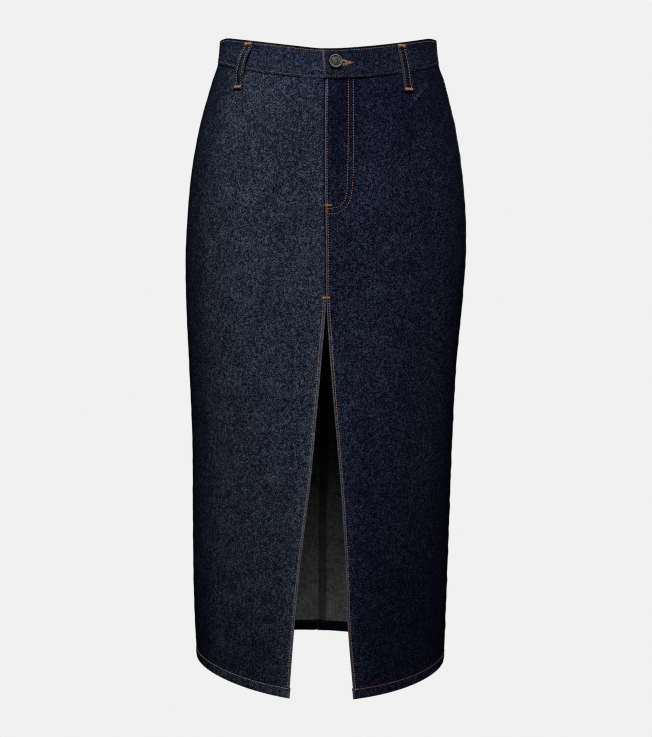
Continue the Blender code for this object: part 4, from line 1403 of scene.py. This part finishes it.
def sewPanel(panel):
    half, side, piece = panel.half, panel.side, "stitching_" + panel.name
    footZ = float(hemZ(panel, np.array([0.02 * side]), hem["stitch"])[0])
    topZ = float(bandLine(half, 0.001 * side, "foot"))
    # rows beside the centre front, the slit and the centre back
    for row in panel.rows:
        z = np.linspace(footZ, cloth["slitTop"] - 0.001 if panel.name == "front_right" else topZ, 420)
        w = centreEdge(panel, z) + side * rowInset(row, z)
        open = (z < cloth["slitTop"]) & (half == "front")
        if half == "front":
            sewAlong(piece, *panelPath(panel, w[open], z[open]), "bright", width=0.00112)
        if side > 0:
            sewAlong(piece, *panelPath(panel, w[~open], z[~open]))
        if half == "front":
            sewAlong(piece, *panelPath(panel, w[open], z[open], 2 * cloth["foldRadius"]), "brown")
        elif side < 0:
            z = np.linspace(footZ + 0.0035, topZ, 420)
            w = np.full(len(z), 0.0040 if row < 0.005 else -0.0030)
            sewAlong(piece, *panelPath(panel, w, z, cloth["thickness"]), "brown", width=0.0013)
    # the hem, outside and inside
    start = float(centreEdge(panel, np.array(footZ))) + side * panel.hemStart
    w = np.linspace(start, side * (float(sideLength(half, footZ)) - 0.0012), 260)
    z = hemZ(panel, w, hem["stitch"])
    # the left front's hem row takes the darker rust thread: painted shade, as on that front's cloth
    colour = "rust" if panel.name == "front_left" else "sand"
    sewAlong(piece, *panelPath(panel, w, z), colour, length=0.0029, width=0.00120)
    deep = hem["fold"] + (0.0033 * fadeOut(np.abs(w), 0.0045, 0.0100) if panel.name == "back_left" else 0.0)
    # the hidden row inside the hem takes the dark thread: painted shade
    sewAlong(piece, *panelPath(panel, w, z, deep), "dyed", lift=-0.0001)
    if half == "front":  # the hem's row is caught twice where it meets the slit
        for shift in (-0.0005, 0.0006):
            w = np.linspace(start - side * 0.0012, start + side * 0.0046, 8)
            z = hemZ(panel, w, hem["stitch"] + shift)
            sewAlong(piece, *panelPath(panel, w, z), lift=0.0002, pitch=0.0026)


def barTack(w, z, acrossReach, upReach, **changes):
    # a dense bar on the left front about a place
    t = np.linspace(-0.5, 0.5, 24)
    path = panelPath(panels["front_left"], w + t * acrossReach, z + t * upReach)
    sewAlong("stitching_front_left", *path, "amber", tack, length=0.0026, **changes)


def sewFly():
    left, right = panels["front_left"], panels["front_right"]
    for path in flyPaths:
        sewAlong("stitching_front_left", *panelPath(left, *path.T))
    tackW = float(arcAt("front", -0.0025, -0.2098))
    barTack(tackW, -0.2098, 0, 0.0105, pitch=0.0009)
    barTack(tackW + 0.0024, -0.2049, 0.0084, 0, lift=0.0005)
    # the bar at the top of the slit holds both edges
    z = np.full(26, cloth["slitTop"] + 0.0016)
    w = float(arcAt("front", -0.0027, z[0])) + np.linspace(-0.5, 0.5, 26) * 0.0102
    (over, outs), (under, _) = panelPath(left, w, z), panelPath(right, w, z)
    edge = float(centreEdge(left, z[0]))
    points = under + (over - under) * smoothStep(w, edge - 0.0012, edge + 0.0004)[:, None]
    sewAlong("stitching_front_left", points, outs, "amber", tack, length=0.0036, lift=0.0004)


def bandPath(side, kind, gap, start, inside=False):
    # places and ways out along a row of the band
    points, outs = [], []
    front, back = float(sideLength("front", 0.0)), float(sideLength("back", 0.0))
    parts = (("front", start, side * front, front), ("back", side * back, side * 0.0008, back))
    for half, first, last, full in parts:
        share = np.linspace(first, last, 220) / full
        z = bandLine(half, share, kind) + (-gap if kind == "top" else gap)
        level = band["rowIn" if inside else "rowOut"] + bandLift(half, side, share * full)
        here, out = clothFrame(half, share * sideLength(half, z), z, lambda w, z: level)
        points.append(here)
        outs.append(-out if inside else out)
    return np.concatenate(points), np.concatenate(outs)


def sewBand(side):
    piece = "stitching_waistband_" + ("left" if side > 0 else "right")
    start = band["edgeX"] + (band["endRow"] if side > 0 else -0.0006)
    innerStart = start if side > 0 else band["edgeX"] + band["underlap"] - band["endRow"]
    # the left piece's top row takes the duller thread: painted shade, as on that piece's cloth
    sewAlong(piece, *bandPath(side, "top", band["topRow"], start), "dull" if side > 0 else "copper")
    points, outs = bandPath(side, "foot", band["bottomRow"], start)
    if side > 0:
        behind = points[:, 1] > 0
        # past sunkFrom the row lies deep in its seam and takes the dark thread: painted shade
        sunk = (points[:, 0] >= band["sunkFrom"]) & ~behind
        runs = ((~sunk & ~behind, "rust", 0.0), (sunk, "dyed", -0.0002), (behind, "rust", 0.0))
        for shown, colour, lift in runs:
            sewAlong(piece, points[shown], outs[shown], colour, lift=lift)
    else:
        sewAlong(piece, points, outs, "rust")
    for kind in ("top", "foot"):
        gap = band["topRow" if kind == "top" else "bottomRow"]
        sewAlong(piece, *bandPath(side, kind, gap, innerStart, inside=True), "brown")
    if side > 0:  # the row beside the upper end
        level = np.linspace(0.06, 0.945, 60)
        w = start + 0.86 * band["lean"] * (1 - 2 * level)
        share = w / float(sideLength("front", 0.0))
        foot, head = bandLine("front", share, "foot"), bandLine("front", share, "top")
        z = foot + level * (head - foot)
        w = share * sideLength("front", z)
        sewAlong(piece, *clothFrame("front", w, z, lambda w, z: band["rowOut"] + band["rise"]))


def bandSpot(x, y):
    # places and ways out on the band's upper end, measured from the button
    def lift(w, z):
        return band["proud"] + bandLift("front", 1, w)

    return clothFrame("front", buttonW + x, button["z"] + y, lift)


def sewButtonhole():
    # purl stitches round the keyhole, wide at its eye and narrow at its tail
    outline = smoothPath(keyhole() + keyhole()[:1], 400)
    ways = unit(np.gradient(outline, axis=0))
    beyond = np.stack([ways[:, 1], -ways[:, 0]], axis=-1)
    along, lengths = (0.0, 0.0085, 0.0125, 0.0165, 0.0180), (0.0026, 0.0040, 0.0034, 0.0023, 0.0018)
    length = np.interp(outline[:, 0], along, lengths)
    middle = outline + beyond * (length / 2 - 0.0003)[:, None]
    sewAlong("stitching_buttonhole", *bandSpot(*middle.T), "amber", purl, length=length + 0.0002)
    tail = np.linspace(0.0168, 0.0212, 12)
    path = bandSpot(tail, -button["holeDrop"])
    length = 0.0026 - 0.0012 * smoothStep(tail, 0.017, 0.0212)
    sewAlong("stitching_buttonhole", *path, "amber", purl, length=length, pitch=0.00050,
             lift=0.0003, wobble=0.08)


def outwards(out, points):
    return out * np.sign((out * points * (1, 1, 0)).sum(-1).mean())


def sewLoop(name):
    for across in (-loopCut["row"], loopCut["row"]):
        faded = name == "loop_front_left" and across < 0
        grid, _, hidden, _ = loopPlaces(name, (across - 0.0006, across, across + 0.0006), (0.0002,) * 3)
        shown = slice(hidden - 3, 3 - hidden)
        out = unit(np.cross(np.gradient(grid[:, 1], axis=0), grid[:, 2] - grid[:, 0]))[shown]
        points = grid[shown, 1]
        sewAlong("stitching_loops", points, outwards(out, points), "rust" if faded else "sand")
    grid, down, hidden, height = loopPlaces(name, np.linspace(-0.0052, 0.0052, 21), np.zeros(21))
    for target in (0.0030, height - 0.0030):
        row = hidden + np.abs(down[hidden : len(grid) - hidden] - target).argmin()
        out = unit(np.cross(grid[row + 1] - grid[row - 1], np.gradient(grid[row], axis=0)))
        sewAlong("stitching_loops", grid[row], outwards(out, grid[row]), "amber", tack,
                 length=0.0035, width=0.00058, height=0.0009, lift=0.0001, wobble=0.09)


for panel in panels.values():
    sewPanel(panel)
sewFly()
sewBand(1)
sewBand(-1)
sewButtonhole()
for name in loops:
    sewLoop(name)
stitchCount = sum(makeStitching(piece) for piece in list(sewn))
print("stitching made:", stitchCount, "stitches")


# Stage, light and camera

studio = {
    "backdrop": 0.8796,  # linear, as the camera sees it
    "ambient": 0.022,
    "floor": (0, 3, -1.03),
    # place, aim, size and power
    "keyLight": ((-0.02, -1.62, 1.60), (0.0, 0.0, -0.35), 0.80, 58.0),
    "backLight": ((0.3, 1.7, -0.10), (0.0, 0.0, -0.40), 1.0, 16.0),
    "camera": (-0.003, -2.0, -0.234),
    "cameraTilt": 84.6,
    "lens": 72.3,
}


def makeStage():
    world = bpy.data.worlds.new("studioAir")
    bpy.context.scene.world = world
    world.use_nodes = True
    tree = world.node_tree
    ray = addNode(tree, "ShaderNodeLightPath").outputs["Is Camera Ray"]
    tone = mapRange(tree, ray, 0, 1, studio["ambient"], studio["backdrop"])
    setInput(tree, tree.nodes["Background"].inputs["Color"], (1, 1, 1, 1))
    setInput(tree, tree.nodes["Background"].inputs["Strength"], tone)
    bpy.ops.mesh.primitive_plane_add(size=12, location=studio["floor"])
    floor = bpy.context.active_object
    floor.name = "floor"
    material, tree = startMaterial("paleFloor")
    for name, value in {"Base Color": (0, 0, 0, 1), "Specular IOR Level": 0.0, "Emission Color": (1, 1, 1, 1),
                        "Emission Strength": studio["backdrop"]}.items():
        setInput(tree, tree.nodes["Principled BSDF"].inputs[name], value)
    floor.data.materials.append(material)
    floor.visible_diffuse = floor.visible_glossy = floor.visible_shadow = False
    floor.select_set(False)


def addAreaLight(name):
    place, aim, size, power = studio[name]
    bpy.ops.object.light_add(type="AREA", location=place)
    light = bpy.context.active_object
    light.name = name
    light.data.shape = "DISK"
    light.data.size = size
    light.data.energy = power
    light.visible_camera = False
    light.rotation_euler = (Vector(aim) - Vector(place)).to_track_quat("-Z", "Y").to_euler()
    light.select_set(False)


def makeStudio():
    makeStage()
    addAreaLight("keyLight")
    addAreaLight("backLight")
    bpy.ops.object.camera_add(location=studio["camera"], rotation=(math.radians(studio["cameraTilt"]), 0, 0))
    camera = bpy.context.active_object
    camera.data.lens = studio["lens"]
    camera.data.sensor_width = 36
    camera.select_set(False)
    scene = bpy.context.scene
    scene.camera = camera
    scene.view_settings.view_transform = "Standard"
    scene.cycles.denoising_prefilter = "NONE"  # keeps the weave and the stitches crisp
    scene.cycles.filter_width = 1.15


makeStudio()
print("studio made")
